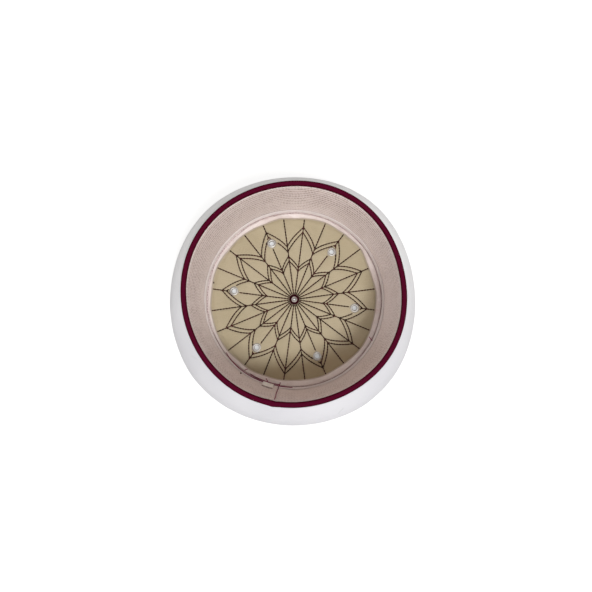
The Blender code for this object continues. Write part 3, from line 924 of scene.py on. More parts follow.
def woven_band():
    finish = Finish("pink_band", 0.90, gloss=0.10)
    turn, along = finish.cloth_map()
    x, y, z = finish.place()
    wander = finish.noise(260.0) - 0.5
    row = along / BAND_PITCH
    shift = (row.whole() * 2.4).sine() * 0.25
    dash = ((turn * BAND_DASHES + shift + wander * 0.6).part() - 0.5).size()
    level = (row.part() - 0.5).size()
    bed = level.ramp(0.44, 0.24)
    inside = dash.ramp(0.42, 0.22) * bed
    clear = z.ramp(12 * MM, 62 * MM) * 0.68 + 0.32
    strength = finish.noise(150.0).ramp(0.25, 0.70) * clear
    threads = plain_weave(turn * BAND_LENGTH, along, BAND_THREAD)
    patches = finish.noise(30.0).ramp(0.35, 0.65)
    upper = finish.mix(patches, (0.840, 0.728, 0.715), (0.900, 0.798, 0.790))
    base = finish.mix(z.ramp(60 * MM, 12 * MM) * 0.7, upper, (0.960, 0.870, 0.862))
    ridge = finish.mix(level.ramp(0.34, 0.47), base, (0.97, 0.92, 0.90))
    threaded = finish.mix(threads.ramp(0.1, -1.0) * 0.35, ridge, (0.56, 0.455, 0.420))
    # painted shade: the bed of each row, between the ribs, is darker
    bed_shade = finish.mix(bed * clear * 0.42, threaded, (0.52, 0.42, 0.39))
    dashed = finish.mix(inside * strength * 0.85, bed_shade, (0.430, 0.325, 0.300))
    # painted shade: darker and browner at the back
    painted_shade = (x * 0.20 - y * 0.98).ramp(14 * MM, 80 * MM) * (patches * 0.4 + 0.6)
    shade_browned = finish.mix(painted_shade * 0.40, dashed, (0.64, 0.47, 0.40))
    # painted light: paler at the right, less so near the rim
    right = (x * 0.99 + y * 0.10).ramp(66 * MM, 92 * MM) * (1 - z.ramp(30 * MM, 75 * MM) * 0.5)
    light_paled = finish.mix(right * 0.75, shade_browned, (0.99, 0.89, 0.90))
    # painted shade: duller at the front left
    left = (y * 0.73 - x * 0.68).ramp(58 * MM, 82 * MM)
    shade_dulled = finish.mix(left * 0.30, light_paled, (0.50, 0.42, 0.39))
    colour = finish.mix(along.ramp(SELVEDGE, SELVEDGE * 0.6), shade_dulled, (0.91, 0.84, 0.82))
    return finish.done(colour, threads * 0.30 - inside * clear, 0.00030)


def make_wall_lining():
    """Down the ribbed inner face from the rim to the foot, and up the plain outer face."""
    bearings = even_bearings(BAND_COLUMNS)
    share = np.linspace(0, 1, BAND_ROWS * POINTS_A_ROW + 1)
    heights = WALL_TOP + (LINING_FOOT - WALL_TOP) * share
    rib = RIB_HEIGHT * np.abs(np.cos(math.pi * share * BAND_ROWS)) ** 1.5
    outer = wall_radius(heights) - BAND_THICKNESS - LINING_GAP
    fold = BAND_LAP * past_seam(bearings, (-0.15, 0.15), (3.0, 4.5))
    inner = (outer - BAND_THICKNESS - rib)[:, None] - fold[None]
    section = np.stack([inner, heights[:, None] * np.ones(BAND_COLUMNS)], axis=2)
    back_heights = np.linspace(LINING_FOOT, WALL_TOP, 4)
    back_radii = wall_radius(back_heights) - BAND_THICKNESS - LINING_GAP
    back = all_round(np.column_stack([back_radii, back_heights]), bearings)
    return round_skin("wall_lining_band", np.concatenate([section, back]), bearings)


wall_lining = settle(make_wall_lining(), woven_band(), "pink_band", "wall_lining")

# %% [markdown]
# The wall itself is the same felt as the crown. Only its lowest stretch shows, between the crown's edge
# and the first turn of the cloth. Its two ends are joined at the back, where one lies over the other.

# %% The outside of the wall
WALL_THICKNESS = 1.0 * MM
WALL_FOOT_ROUND = 1.2 * MM
WALL_COLUMNS = 360
WALL_LAP = 0.35 * MM


def make_wall():
    """A thin leaning wall with a rounded foot and a lapped back seam."""
    bearings = even_bearings(WALL_COLUMNS)
    # few rows behind the cloth, and more below it, where the wall shows
    heights = np.concatenate([np.linspace(WALL_TOP, 18 * MM, 8), np.linspace(16 * MM, 2.2 * MM, 12)])
    arc = np.radians(np.linspace(20, 90, 4))
    foot_radii = wall_radius(heights[-1]) - WALL_FOOT_ROUND * (1 - np.cos(arc)) * 0.6
    foot_heights = heights[-1] - (heights[-1] - WALL_FOOT) * np.sin(arc)
    face = np.column_stack([wall_radius(heights), heights])
    foot = np.column_stack([foot_radii, foot_heights])
    inner = [[WALL_FOOT_RADIUS - WALL_THICKNESS, WALL_FOOT], [WALL_TOP_RADIUS - WALL_THICKNESS, WALL_TOP]]
    section = all_round(np.concatenate([face, foot, inner]), bearings)
    section[:-2, :, 0] += WALL_LAP * past_seam(bearings, (-0.2, 0.4), (4.0, 6.0))
    return round_skin("wall_felt", section, bearings)


wall_felt = settle(make_wall(), felt_material, "burgundy_cloth", "cap_wall")
math.tau * wall_radius(WALL_TOP / 2)

# %% [markdown]
# The binding is a ribbed tape folded over the raw rim. It shows nearly five millimetres wide on top,
# and its outer leg runs down behind the cloth. A row of stitches near each edge pulls it in, so its
# middle stands proud. Its colour is painted lighter on that middle, as a painted highlight, and darker
# on the edges, as painted shade. Its ends lap at the back, with a slight kink.

# %% The rim binding
BINDING_RADIUS = middle_and_size("rim_binding")[1].x / 2
BINDING_WIDTH = 4.75 * MM
BINDING_OUTER = BINDING_RADIUS + 1.15 * MM
BINDING_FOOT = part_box("rim_binding")[0].z
BINDING_COLUMNS = 600
BINDING_LAP = 0.10
BINDING_KINK = 0.5 * MM
RIBS_AROUND = 520
RIB_SLANT = 420.0


def ribbed_tape():
    finish = Finish("burgundy_tape", 0.85, gloss=0.03)
    turn, along = finish.cloth_map()
    _, _, z = finish.place()
    rib = ((turn * RIBS_AROUND + along * RIB_SLANT) * math.tau).sine()
    fleck = finish.noise(600.0)
    tone = (rib * 0.30 + 0.5 + (fleck - 0.5) * 0.6).ramp(0.1, 0.9)
    edge = finish.mix(tone, (0.038, 0.0004, 0.0046), (0.055, 0.0010, 0.0088))
    middle = finish.mix(tone, (0.062, 0.0012, 0.0120), (0.092, 0.0034, 0.0215))
    # painted highlight on the raised middle and painted shade on the edges, by height
    colour = finish.mix(z.ramp(RIM_TOP - 0.50 * MM, RIM_TOP - 0.10 * MM), edge, middle)
    return finish.done(colour, rib, 0.00015)


def make_binding():
    """A loop of section points, softened, with a raised middle on top and a lap at the seam."""
    bearings = even_bearings(BINDING_COLUMNS)
    outer = BINDING_OUTER
    inner = outer - BINDING_WIDTH
    bed = WALL_TOP + GAP
    leg = wall_radius(BINDING_FOOT) + GAP
    loop = np.array(
        [
            [outer, bed + 0.9 * MM],
            [outer, bed],
            [outer - 0.1 * MM, bed - 1.6 * MM],
            [leg + 1.0 * MM, BINDING_FOOT],
            [leg, BINDING_FOOT],
            [wall_radius(bed) + GAP, bed - 0.4 * MM],
            [wall_radius(bed) - 0.2 * MM, bed],
            [inner + 0.1 * MM, bed + 0.1 * MM],
            [inner, bed + 0.9 * MM],
            [inner + 0.05 * MM, RIM_TOP - 0.55 * MM],
            [inner + 0.80 * MM, RIM_TOP - 0.40 * MM],
            [inner + 1.20 * MM, RIM_TOP + 0.05 * MM],
            [outer - 1.20 * MM, RIM_TOP + 0.05 * MM],
            [outer - 0.80 * MM, RIM_TOP - 0.40 * MM],
            [outer - 0.05 * MM, RIM_TOP - 0.55 * MM],
        ]
    )
    section = all_round(softened(loop), bearings)
    lap = past_seam(bearings, (-0.25, 0.25), (3.5, 6.0))
    centre = np.array([wall_radius(bed), bed])
    section += (section - centre) * lap[None, :, None] * BINDING_LAP
    section[..., 0] += BINDING_KINK * bump_at(wrapped(bearings - SEAM_BEARING), 0.0, 2.2)[None]
    return round_skin("binding_tape", section, bearings)


binding = settle(make_binding(), ribbed_tape(), "burgundy_tape", "rim_binding")

# %% [markdown]
# A pale tape covers the corner where crown and wall are sewn together. Its raw edge lies flat on the
# crown and is painted darker, partly as dirt and partly as painted shade under the lip. Next comes a
# round lip, then a narrow groove beside the wall, where it is stitched down, and then a strip that
# climbs the wall and gives way beside the tab, painted lighter as a painted highlight. It was sewn on a
# little off centre, in short straight pulls, so its edges wander in a many-sided way, and the lip
# puckers at every stitch. The dark line of the groove is painted shade, and beside it dirt and painted
# shade tint the tape mauve. The line fades at the front and climbs a little at the left, where the tape
# pulls away. Broken crease lines on the lip are painted shade, and painted shade makes the tape darker
# and browner at the back.

# %% The seam tape
TAPE_INNER = 79.2 * MM
TAPE_TOP = 12.6 * MM
TAPE_WAVE = 0.95 * MM
# how far the tape's inner edge lies out of its circle at every 30 degrees
TAPE_EDGE = MM * np.array([-0.6, 0.9, -0.1, -1.5, -0.7, -1.6, -2.2, -0.8, 1.1, 0.7, 0.4, -0.2])
TAPE_RISE = 3.4 * MM
TAB_BEARING = 197.0
TAPE_PULLS = 34
TAPE_STITCHES = 196
TAPE_VALLEY = 83.85 * MM
VALLEY_FLOOR = 6.9 * MM
TAPE_SEED = 11
TAPE_PUCKER = 0.12 * MM
VALLEY_WAVE = 0.22 * MM
TAB_CLEARANCE = 8.0
TAPE_COLUMNS = 784


def many_sided(bearings, pulls, seed):
    """Values from -1 to 1 that change in straight runs between evenly spaced pulls of the needle."""
    chance = np.random.default_rng(seed)
    values = chance.uniform(-1, 1, pulls)
    place = (bearings % TURN) / TURN * pulls
    return np.interp(place, np.arange(pulls + 1), np.append(values, values[0]))


def lining_face(heights):
    """The inner radius of the wall lining."""
    return wall_radius(heights) - 2 * BAND_THICKNESS - LINING_GAP - RIB_HEIGHT


def valley_wander(bearings):
    """How far the stitched valley strays from its circle."""
    return VALLEY_WAVE * many_sided(bearings, TAPE_PULLS, TAPE_SEED + 2)


def pale_tape(valley):
    finish = Finish("pale_tape", 0.80, gloss=0.15)
    x, y, _ = finish.place()
    turn, along = finish.cloth_map()
    pulled = (y * 0.34 - x * 0.94).ramp(56 * MM, 76 * MM)
    line = along - valley - pulled * (3.4 * MM)
    clear = 1 - y.ramp(58 * MM, 78 * MM) * 0.5
    blotch = finish.noise(55.0, detail=3.0)
    weave = plain_weave(turn * 0.53, along, 0.35 * MM)
    base = finish.mix(blotch.ramp(0.35, 0.65), (0.800, 0.705, 0.680), (0.900, 0.825, 0.805))
    toned = finish.mix(finish.noise(240.0).ramp(0.5, 0.8) * 0.25, base, (0.62, 0.46, 0.46))
    # painted shade: the dark line along the groove
    groove = line.size().ramp(0.75 * MM, 0.40 * MM) * finish.noise(85.0).ramp(0.28, 0.58) * clear
    # dirt and painted shade beside the groove
    dirt_and_shade = line.size().ramp(1.4 * MM, 0.7 * MM) * finish.noise(90.0).ramp(0.1, 0.5) * clear
    # the raw edge is painted darker: partly dirt, partly painted shade under the lip
    edge_dirt_and_shade = finish.mix(along.ramp(2.2 * MM, 1.4 * MM) * 0.85, toned, (0.43, 0.36, 0.28))
    mauve = finish.mix(dirt_and_shade * 0.45, edge_dirt_and_shade, (0.54, 0.42, 0.42))
    # painted highlight: the tape past the groove, up the wall, is lighter
    dull = (1 - line.ramp(1.2 * MM, 2.2 * MM)) * (1 - pulled * (along - valley).ramp(-1.0 * MM, 0.3 * MM))
    lit = finish.mix(1 - dull, mauve, (0.975, 0.915, 0.920))
    stray = (finish.noise(65.0) - 0.5) * 2.2 * MM
    # painted shade in broken crease lines on the lip
    fold = (along - valley + stray + 1.9 * MM).size().ramp(0.55 * MM, 0.20 * MM)
    broken = fold * finish.noise(110.0).ramp(0.42, 0.60)
    crease_shaded = finish.mix(broken * 0.60, lit, (0.50, 0.37, 0.37))
    # painted shade: darker and browner at the back
    shade_browned = finish.mix(y.ramp(-30 * MM, -80 * MM) * 0.30, crease_shaded, (0.62, 0.45, 0.37))
    colour = finish.mix(groove * 0.68, shade_browned, (0.36, 0.235, 0.24))
    return finish.done(colour, weave + blotch * 2.0 - broken * 2.0, 0.00010)


def tape_section(bearings):
    """The corner points of the tape's section: the lip, the valley, up the wall, and back down behind."""
    edge = TAPE_WAVE * many_sided(bearings, TAPE_PULLS, TAPE_SEED) + closed_curve(TAPE_EDGE, bearings)
    top = TAPE_WAVE * many_sided(bearings, TAPE_PULLS - 7, TAPE_SEED + 1)
    top = (top + TAPE_RISE) * (1 - bump_at(wrapped(bearings - TAB_BEARING), 0.0, TAB_CLEARANCE))
    valley = TAPE_VALLEY + valley_wander(bearings)
    pucker = TAPE_PUCKER * np.sin(np.radians(bearings) * TAPE_STITCHES)
    bed = LINING_LOW + GAP
    lip = TAPE_INNER + edge
    knots = (
        (lip + 0.3 * MM, bed),
        (lip - 0.1 * MM, bed + 0.25 * MM),
        (lip + 0.5 * MM, bed + 0.75 * MM),
        (lip + 1.0 * MM, bed + 0.95 * MM),
        (lip + 1.2 * MM, bed + 2.0 * MM),
        (lip + 1.9 * MM, bed + 2.8 * MM + pucker),
        (valley - 1.1 * MM, bed + 3.3 * MM + pucker),
        (valley - 0.4 * MM, bed + 2.9 * MM),
        (valley - 0.25 * MM, VALLEY_FLOOR - 0.2 * MM),
        (valley + 0.25 * MM, VALLEY_FLOOR - 0.2 * MM),
        (valley + 0.35 * MM, bed + 3.6 * MM - pucker),
        (lining_face(9.6 * MM) - 0.80 * MM, 9.6 * MM),
        (lining_face(TAPE_TOP + top) - 0.90 * MM, TAPE_TOP + top - 0.9 * MM),
        (lining_face(TAPE_TOP + top) - 0.50 * MM, TAPE_TOP + top),
        (lining_face(TAPE_TOP + top) - 0.12 * MM, TAPE_TOP + top - 0.3 * MM),
        (lining_face(8.5 * MM) - 0.12 * MM, 8.5 * MM),
        (lining_face(6.0 * MM) - 0.12 * MM, 6.0 * MM),
        (lining_face(bed) - 0.4 * MM, bed),
    )
    level = np.zeros_like(bearings)
    loop = [np.column_stack([radius + level, height + level]) for radius, height in knots]
    return softened(np.array(loop))


def make_seam_tape():
    """The section carried round, and how far along it the valley lies."""
    bearings = even_bearings(TAPE_COLUMNS)
    section = tape_section(bearings)
    first = section[:, 0]
    off_valley = np.abs(first - [TAPE_VALLEY + valley_wander(0.0), VALLEY_FLOOR]).sum(axis=1)
    return round_skin("seam_tape_cloth", section, bearings), float(distances(first)[np.argmin(off_valley)])


tape_piece, valley_along = make_seam_tape()
seam_tape = settle(tape_piece, pale_tape(valley_along), "pale_tape", "seam_tape")

# %% [markdown]
# The tape is sewn down along its valley with a fine rose thread, in stitches as long as the puckers.

# %% Sew the tape
TAPE_THREAD_RADIUS = 0.26 * MM


def make_tape_stitches():
    """A ring of stitches that lie in the valley."""
    places = []
    for shift in (0.08, 0.92):
        bearings = even_bearings(TAPE_STITCHES) + shift * TURN / TAPE_STITCHES
        flat = AXIS + direction(bearings) * (TAPE_VALLEY + valley_wander(bearings))[:, None]
        places.append(np.column_stack([flat, np.full(len(flat), VALLEY_FLOOR + 0.35 * MM)]))
    return stitches("tape_stitches", *places, 0.15 * MM, TAPE_THREAD_RADIUS)


tape_sewing = make_tape_stitches()
rose_thread = spun("rose_thread", 0.70, 0.15, 180.0, 0.20, (0.36, 0.22, 0.24), (0.70, 0.58, 0.58))
settle(tape_sewing, rose_thread, "pale_tape")

# %% [markdown]
# The tape was mended by hand at the back with a burgundy thread, which wanders along it and up the seam
# of the band. One more thread crosses the tape where its own ends meet, and two small knots of dark
# thread were left. A thread is a tube carried along a path: the path is a smooth curve through a few
# points, given by bearing, radius and height.

# %% Threads on the tape and the back seam
STRAY_RADIUS = 0.34 * MM
KNOT_RADIUS = 0.60 * MM
TUBE_SIDES = 8
STEPS_A_KNOT = 8


def tube(name, path, radius):
    """A closed tube along a path (n, 3), domed at both ends."""
    ahead = unit(np.gradient(path, axis=0))
    reference = np.where(np.abs(ahead[:, 2:]) > 0.8, [[1.0, 0.0, 0.0]], [[0.0, 0.0, 1.0]])
    side = unit(np.cross(ahead, reference))
    ends = np.minimum(np.arange(len(path)), np.arange(len(path))[::-1]) / 2.0
    fat = radius * np.sqrt(np.clip(1 - (1 - np.clip(ends, 0, 1)) ** 2, 0.02, 1))
    ring = round_line(side, np.cross(side, ahead), TUBE_SIDES)
    points = (path[:, None] + ring * fat[:, None, None]).reshape(-1, 3)
    quads = ring_quads(len(path) - 1, TUBE_SIDES)
    caps = end_caps(len(path), TUBE_SIDES)
    if signed_volume(points, quads) < 0:
        quads = quads[:, ::-1]
        caps = caps[:, ::-1]
    return mesh_piece(name, points, [quads, caps])


def smooth_path(knots):
    """A Catmull-Rom curve through knots (n, 3): each stretch is a cubic fitted to its four nearest."""
    knots = np.vstack([2 * knots[0] - knots[1], knots, 2 * knots[-1] - knots[-2]])
    share = np.linspace(0, 1, STEPS_A_KNOT, endpoint=False)[None, :, None]
    before, start, end, after = (knots[k : len(knots) - 3 + k, None] for k in range(4))
    curve = 0.5 * (
        2 * start
        + (end - before) * share
        + (2 * before - 5 * start + 4 * end - after) * share**2
        + (3 * start - before - 3 * end + after) * share**3
    )
    return np.vstack([curve.reshape(-1, 3), knots[-2]])


def around_cap(rows):
    """Points from rows of bearing, and radius and height in millimetres, swayed with the wall."""
    bearings, radii, heights = np.transpose(rows) * [[1.0], [MM], [MM]]
    radii = radii + sway(bearings, heights)
    return np.column_stack([AXIS + direction(bearings) * radii[:, None], heights])


STRAY_THREADS = {
    # bearing, radius and height of each point, the last two in millimetres
    "stray_thread_long": (
        (232.0, 82.6, 8.2), (228.5, 83.4, 9.0), (222.0, 83.9, 11.4), (216.0, 84.2, 12.9),
        (209.0, 84.2, 13.1), (203.0, 84.1, 12.4), (197.0, 83.9, 11.4), (191.0, 83.9, 10.8),
        (185.5, 84.0, 11.0), (181.0, 84.1, 11.6),
    ),
    "stray_thread_second": (
        (211.0, 82.7, 8.2), (206.0, 83.0, 8.3), (200.0, 82.9, 8.3), (194.0, 82.9, 8.3),
        (189.5, 82.8, 8.2),
    ),
    "stray_thread_cross": (
        (200.5, 79.3, 6.2), (199.0, 81.0, 7.9), (197.8, 82.7, 8.3),
    ),
    "stray_thread_loop": (
        (213.5, 80.2, 6.4), (214.5, 81.6, 8.0), (215.0, 83.0, 8.3),
    ),
    "tape_join_thread": (
        (116.0, 79.7, 6.3), (117.0, 81.3, 7.9), (117.6, 82.8, 8.3), (117.9, 83.8, 9.2),
        (118.2, 84.1, 12.6),
    ),
    "band_seam_thread": (
        (189.6, 79.4, 6.3), (189.6, 81.1, 7.9), (189.7, 82.9, 8.3), (189.8, 83.8, 9.4),
        (190.0, 84.1, 12.6), (190.1, 85.2, 17.0), (190.2, 86.3, 30.0), (190.5, 88.0, 50.0),
        (190.4, 89.5, 68.0), (190.6, 90.9, 83.6), (190.7, 91.1, 85.6),
    ),
    "edge_knot": (
        (281.2, 79.5, 4.9), (281.8, 79.7, 5.2), (282.4, 79.8, 5.0),
    ),
    "wall_knot": (
        (215.1, 85.9, 23.6), (215.4, 85.9, 24.0), (215.8, 86.0, 24.3),
    ),
}


stray_tones = ((0.170, 0.018, 0.055), (0.300, 0.050, 0.115))
stray_material = spun("stray_thread", 0.75, 0.12, 500.0, 0.20, *stray_tones)
for name, rows in STRAY_THREADS.items():
    knot = name.endswith("knot")
    thread = tube(name, smooth_path(around_cap(rows)), KNOT_RADIUS if knot else STRAY_RADIUS)
    settle(thread, thread_material if knot else stray_material, "burgundy_tape")

# %% [markdown]
# A small blank tab is caught in the seam beside the back seam. It is a stiff woven ribbon with pressed
# edges. It stands against the band and leans back on it, so it catches the light. Its upper edge is
# painted dark, as painted shadow of that edge on the band.

# %% The blank tab
TAB_COLUMNS = 24
TAB_ROWS = 26
TAB_HALF_WIDTH = 5.4 * MM
TAB_HALF_THICKNESS = 0.26 * MM
TAB_STAND_OFF = 0.45 * MM
TAB_LEAN = 1.5 * MM
TAB_TAPER = 0.03
TAB_SKEW = 0.02
TAB_HEM = 0.10 * MM
TAB_EDGE = 0.35
TAB_HEIGHT = 16.0 * MM


def make_tab():
    """A thin slab that bends with the wall. Hems thicken it near its sides and its upper edge."""
    low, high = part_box("size_tab")
    out = np.array(((low + high) / 2)[:2]) - AXIS
    bearing = math.degrees(math.atan2(out[0], out[1]))
    out = direction(bearing)
    aside = np.array([out[1], -out[0]])
    u = np.linspace(-1, 1, TAB_COLUMNS)[None]
    v = np.linspace(0, 1, TAB_ROWS)[:, None]
    width = u * TAB_HALF_WIDTH * (1 - TAB_TAPER + TAB_TAPER * v)
    heights = low.z + v * TAB_HEIGHT * (1 - TAB_SKEW * u)
    wall = lining_face(heights) + sway(np.full(1, bearing), heights)
    middle = wall - TAB_STAND_OFF - TAB_LEAN * (1 - v) - width**2 / (2 * wall)
    hem = TAB_HEM * (bump_at(np.abs(u), 0.86, 0.10) + bump_at(v, 0.93, 0.05))
    half = (TAB_HALF_THICKNESS + hem) * np.minimum(1.0, (1 - np.abs(u)) * 14 + TAB_EDGE)
    width, heights = np.broadcast_arrays(width, heights)
    faces = []
    for side in (-1, 1):
        flat = AXIS + out * (middle + side * half)[..., None] + aside * width[..., None]
        faces.append(np.concatenate([flat, heights[..., None]], axis=2))
    points = np.concatenate([faces[0], faces[1][:, ::-1]], axis=1).reshape(-1, 3)
    count = 2 * TAB_COLUMNS
    foot = np.arange(TAB_COLUMNS - 1)
    strip = np.stack([foot, foot + 1, count - 2 - foot, count - 1 - foot], axis=1)
    ends = np.concatenate([strip[:, ::-1], strip + (TAB_ROWS - 1) * count])
    quads = np.concatenate([ring_quads(TAB_ROWS - 1, count), ends])
    if signed_volume(points, quads) < 0:
        quads = quads[:, ::-1]
    return mesh_piece("blank_tab", points, [quads])


def tab_cloth():
    finish = Finish("tab_cloth", 0.65, gloss=0.25)
    x, _, z = finish.place()
    weave = plain_weave(x, z, 0.25 * MM)
    base = finish.mix(finish.noise(150.0).ramp(0.35, 0.65), (0.93, 0.87, 0.82), (0.975, 0.93, 0.89))
    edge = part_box("size_tab")[0].z + TAB_HEIGHT
    # painted shadow along the upper edge
    colour = finish.mix(z.ramp(edge - 2.6 * MM, edge - 1.8 * MM) * 0.75, base, (0.22, 0.13, 0.12))
    return finish.done(colour, weave, 0.00006)


tab = settle(make_tab(), tab_cloth(), "tab_cloth", "size_tab")

# %% [markdown]
# The eyelets are all turned from one profile: a domed flange on the lining, a barrel through both
# layers, and a rolled foot pressed flat on the crown's outside. A grid of the softened profile round
# each eyelet's own axis gives them. The rivet in the middle holds a cloth washer, and its small bore
# stays dark.

# %% Eyelets, rivet and washer
EYELET_BARREL = 2.8 * MM
EYELET_HOLE = 2.2 * MM
EYELET_FLANGE = 4.7 * MM
FLANGE_FOOT = 4.5 * MM
TURNED_COLUMNS = 40


def turned(name, profile, spot):
    """A closed profile of (radius, height), softened and turned round a vertical axis."""
    loop = softened(np.array(profile))
    return skin(name, round_points(loop[:, :1], loop[:, 1:], even_bearings(TURNED_COLUMNS), spot))


def satin_metal(name, colour, dark, roughness):
    """Pressed metal: turned marks round each piece are too fine to see, so noise roughens the gloss."""
    finish = Finish(name, roughness, metallic=1.0, gloss=0.5)
    wear = finish.noise(800.0, detail=3.0)
    tone = finish.mix(finish.noise(220.0).ramp(0.4, 0.7), colour, dark)
    return finish.done(tone, wear, 0.00002, roughness=wear * 0.25 + (roughness - 0.10))


nickel = satin_metal("eyelet_metal", (0.50, 0.485, 0.46), (0.42, 0.40, 0.38), 0.48)
EYELET_PROFILE = (
    (EYELET_HOLE, 1.0 * MM),
    (EYELET_HOLE, 3.2 * MM),
    (EYELET_HOLE, 4.9 * MM),
    (EYELET_HOLE + 0.45 * MM, 5.50 * MM),
    (EYELET_HOLE + 1.35 * MM, 5.55 * MM),
    (EYELET_FLANGE - 0.35 * MM, 5.05 * MM),
    (EYELET_FLANGE + 0.15 * MM, FLANGE_FOOT + 0.1 * MM),
    (EYELET_FLANGE - 0.2 * MM, FLANGE_FOOT - 0.05 * MM),
    (EYELET_BARREL, FLANGE_FOOT),
    (EYELET_BARREL, 3.0 * MM),
    (EYELET_BARREL, 1.25 * MM),
    (EYELET_FLANGE - 0.1 * MM, 1.15 * MM),
    (EYELET_FLANGE, 0.7 * MM),
    (EYELET_FLANGE - 0.9 * MM, 0.2 * MM),
    (EYELET_HOLE + 0.7 * MM, 0.2 * MM),
)
for node, spot in zip(EYELETS, EYELET_SPOTS):
    settle(turned(f"air_{node}", EYELET_PROFILE, spot), nickel, "eyelet_metal", node)

WASHER_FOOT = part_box("centre_washer")[0].z
WASHER_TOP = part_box("centre_washer")[1].z
RIVET_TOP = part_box("centre_rivet")[1].z
WASHER_PROFILE = (
    (CENTRE_HOLE, WASHER_FOOT),
    (CENTRE_HOLE, WASHER_TOP),
    (3.4 * MM, WASHER_TOP + 0.1 * MM),
    (4.6 * MM, WASHER_TOP - 0.15 * MM),
    (4.95 * MM, WASHER_FOOT + 0.3 * MM),
    (4.6 * MM, WASHER_FOOT),
)
washer_felt = felt("washer_cloth", (0.016, 0.002, 0.003), (0.038, 0.003, 0.008))
washer = settle(turned("washer_felt", WASHER_PROFILE, AXIS), washer_felt, "washer_cloth", "centre_washer")
RIVET_PROFILE = (
    (0.95 * MM, 0.3 * MM),
    (0.95 * MM, 5.6 * MM),
    (1.30 * MM, RIVET_TOP - 0.35 * MM),
    (2.0 * MM, RIVET_TOP + 0.1 * MM),
    (2.9 * MM, RIVET_TOP - 0.35 * MM),
    (2.8 * MM, WASHER_TOP + GAP),
    (1.7 * MM, WASHER_TOP + GAP),
    (1.7 * MM, 1.2 * MM),
    (4.1 * MM, 1.2 * MM),
    (4.2 * MM, 0.7 * MM),
    (3.6 * MM, 0.3 * MM),
)
rivet_metal = satin_metal("rivet_metal", (0.44, 0.40, 0.38), (0.34, 0.29, 0.28), 0.58)
settle(turned("crown_rivet", RIVET_PROFILE, AXIS), rivet_metal, "rivet_metal", "centre_rivet")

# %% [markdown]
# The white cloth is fine cotton, folded lengthwise into a band and wound round the wall in five turns.
# Each turn starts at a rounded fold on the crown's side and runs up to the rim, over the turn before,
# so the folds step out like tiers. In each turn the cloth is gathered, so another pleat shows above its
# fold, and four on the last turn, which covers the rest. It is pulled smooth towards the rim, as the
# photo shows, and its upper edge is tucked up beside the binding.
#
# A turn's outer face is the wall plus a share of the cloth's depth. The depth is full up to the widest
# height and then thins by the square of the height, and it differs by bearing, because the cloth is
# thicker at the back. Close to its fold the face rounds off by a quarter of an ellipse, and each pleat
# is a smaller step of the same kind, so the grid has its rows along these lines, crowded just above
# each. The gaps between the lines wander by three waves. Long shallow pulls, which climb as they run
# round, are added on the whole face. A number on each point says how deep it lies beside a fold, and
# the material shades the cloth there.

# %% The wound cloth
WIDEST_HEIGHT = 46.0 * MM
TAPER_END = 82.0 * MM
WRAP_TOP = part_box("wrap_turn_5")[1].z
HIDDEN_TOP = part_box("wrap_turn_1")[1].z
FOLD_ROUND = 3.4 * MM
FOLD_START = 0.52
FOLD_CHANGE = 0.22
PLEAT_ROUND = 1.4 * MM
PLEAT_GROOVE = 0.50 * MM
PLEAT_STRENGTH = 0.62
PLEAT_CHANGE = 0.38
# how far up and down a fold or a pleat shades the cloth
FOLD_SHADE = 1.4 * MM
NEXT_FOLD_SHADE = 1.5 * MM
PLEAT_SHADE = 0.9 * MM
LEAST_CLOTH = 0.50 * MM
LIP_TOP = 82.6 * MM
CALM_HEIGHT = 76.0 * MM
# the widest radius from the cap's axis at every 30 degrees
WIDEST_OUTLINE = MM * np.array(
    [107.3, 108.9, 109.0, 108.2, 112.2, 115.8, 115.4, 115.8, 114.6, 111.4, 110.3, 109.0]
)
WIDE_PLEATS = (
    # gap from the line below, step
    (2.8 * MM, 1.15 * MM),
    (3.2 * MM, 1.00 * MM),
    (3.6 * MM, 0.80 * MM),
    (4.2 * MM, 0.55 * MM),
)
CLOTH_TURNS = (
    # fold height, how far it swings, bearing where it is highest, share of the depth, (gap, step) of pleats
    (12.5 * MM, 1.6 * MM, 40.0, 0.33, ((3.1 * MM, 1.30 * MM),)),
    (18.5 * MM, 2.0 * MM, 150.0, 0.54, ((3.3 * MM, 1.20 * MM),)),
    (25.0 * MM, 2.3 * MM, 260.0, 0.70, ((3.5 * MM, 1.10 * MM),)),
    (32.0 * MM, 2.6 * MM, 20.0, 0.83, ((3.6 * MM, 1.00 * MM),)),
    (39.0 * MM, 2.6 * MM, 110.0, 1.00, WIDE_PLEATS),
)
FOLD_NOSE = (
    # share of the fold's thickness, height above the fold
    (0.03, 0.90 * MM),
    (0.18, 0.25 * MM),
    (0.50, 0.0 * MM),
    (0.85, 0.10 * MM),
)
GAP_WAVES = (
    # share of the gap, waves round the cap, shift from turn to turn, shift from pleat to pleat
    (0.42, 2, 1.7, 2.1),
    (0.18, 3, 2.9, 1.3),
    (0.10, 7, 0.7, 3.1),
)
PLEAT_ROWS = (0.0, 0.02, 0.06, 0.13, 0.24, 0.38, 0.55, 0.72, 0.86, 0.95)
WRAP_SEED = 23
PULL_WAVES = ((3, 70.0), (5, -110.0), (8, 170.0), (13, -260.0), (21, 420.0), (34, -600.0))
PULL_SCALE = 1.6
# the pulls' depth where the cloth is smooth, how much more there is below, and where it changes
LEAST_PULL = 0.24 * MM
MORE_PULL = 0.56 * MM
PULLS_CALM = (60 * MM, 46 * MM)
PULL_FADE = 6 * MM
CLIMB_ROWS = 16
LAST_CLIMB_ROWS = 26
CALM_ROWS = 14
INSIDE_ROWS = 10
LAST_INSIDE_ROWS = 24
TURN_COLUMNS = 400
LAST_TURN_COLUMNS = 640


def depth_left(heights):
    """The share of the cloth's depth at a height."""
    past = np.maximum(heights - WIDEST_HEIGHT, 0.0) / (TAPER_END - WIDEST_HEIGHT)
    return 1.0 - past**2


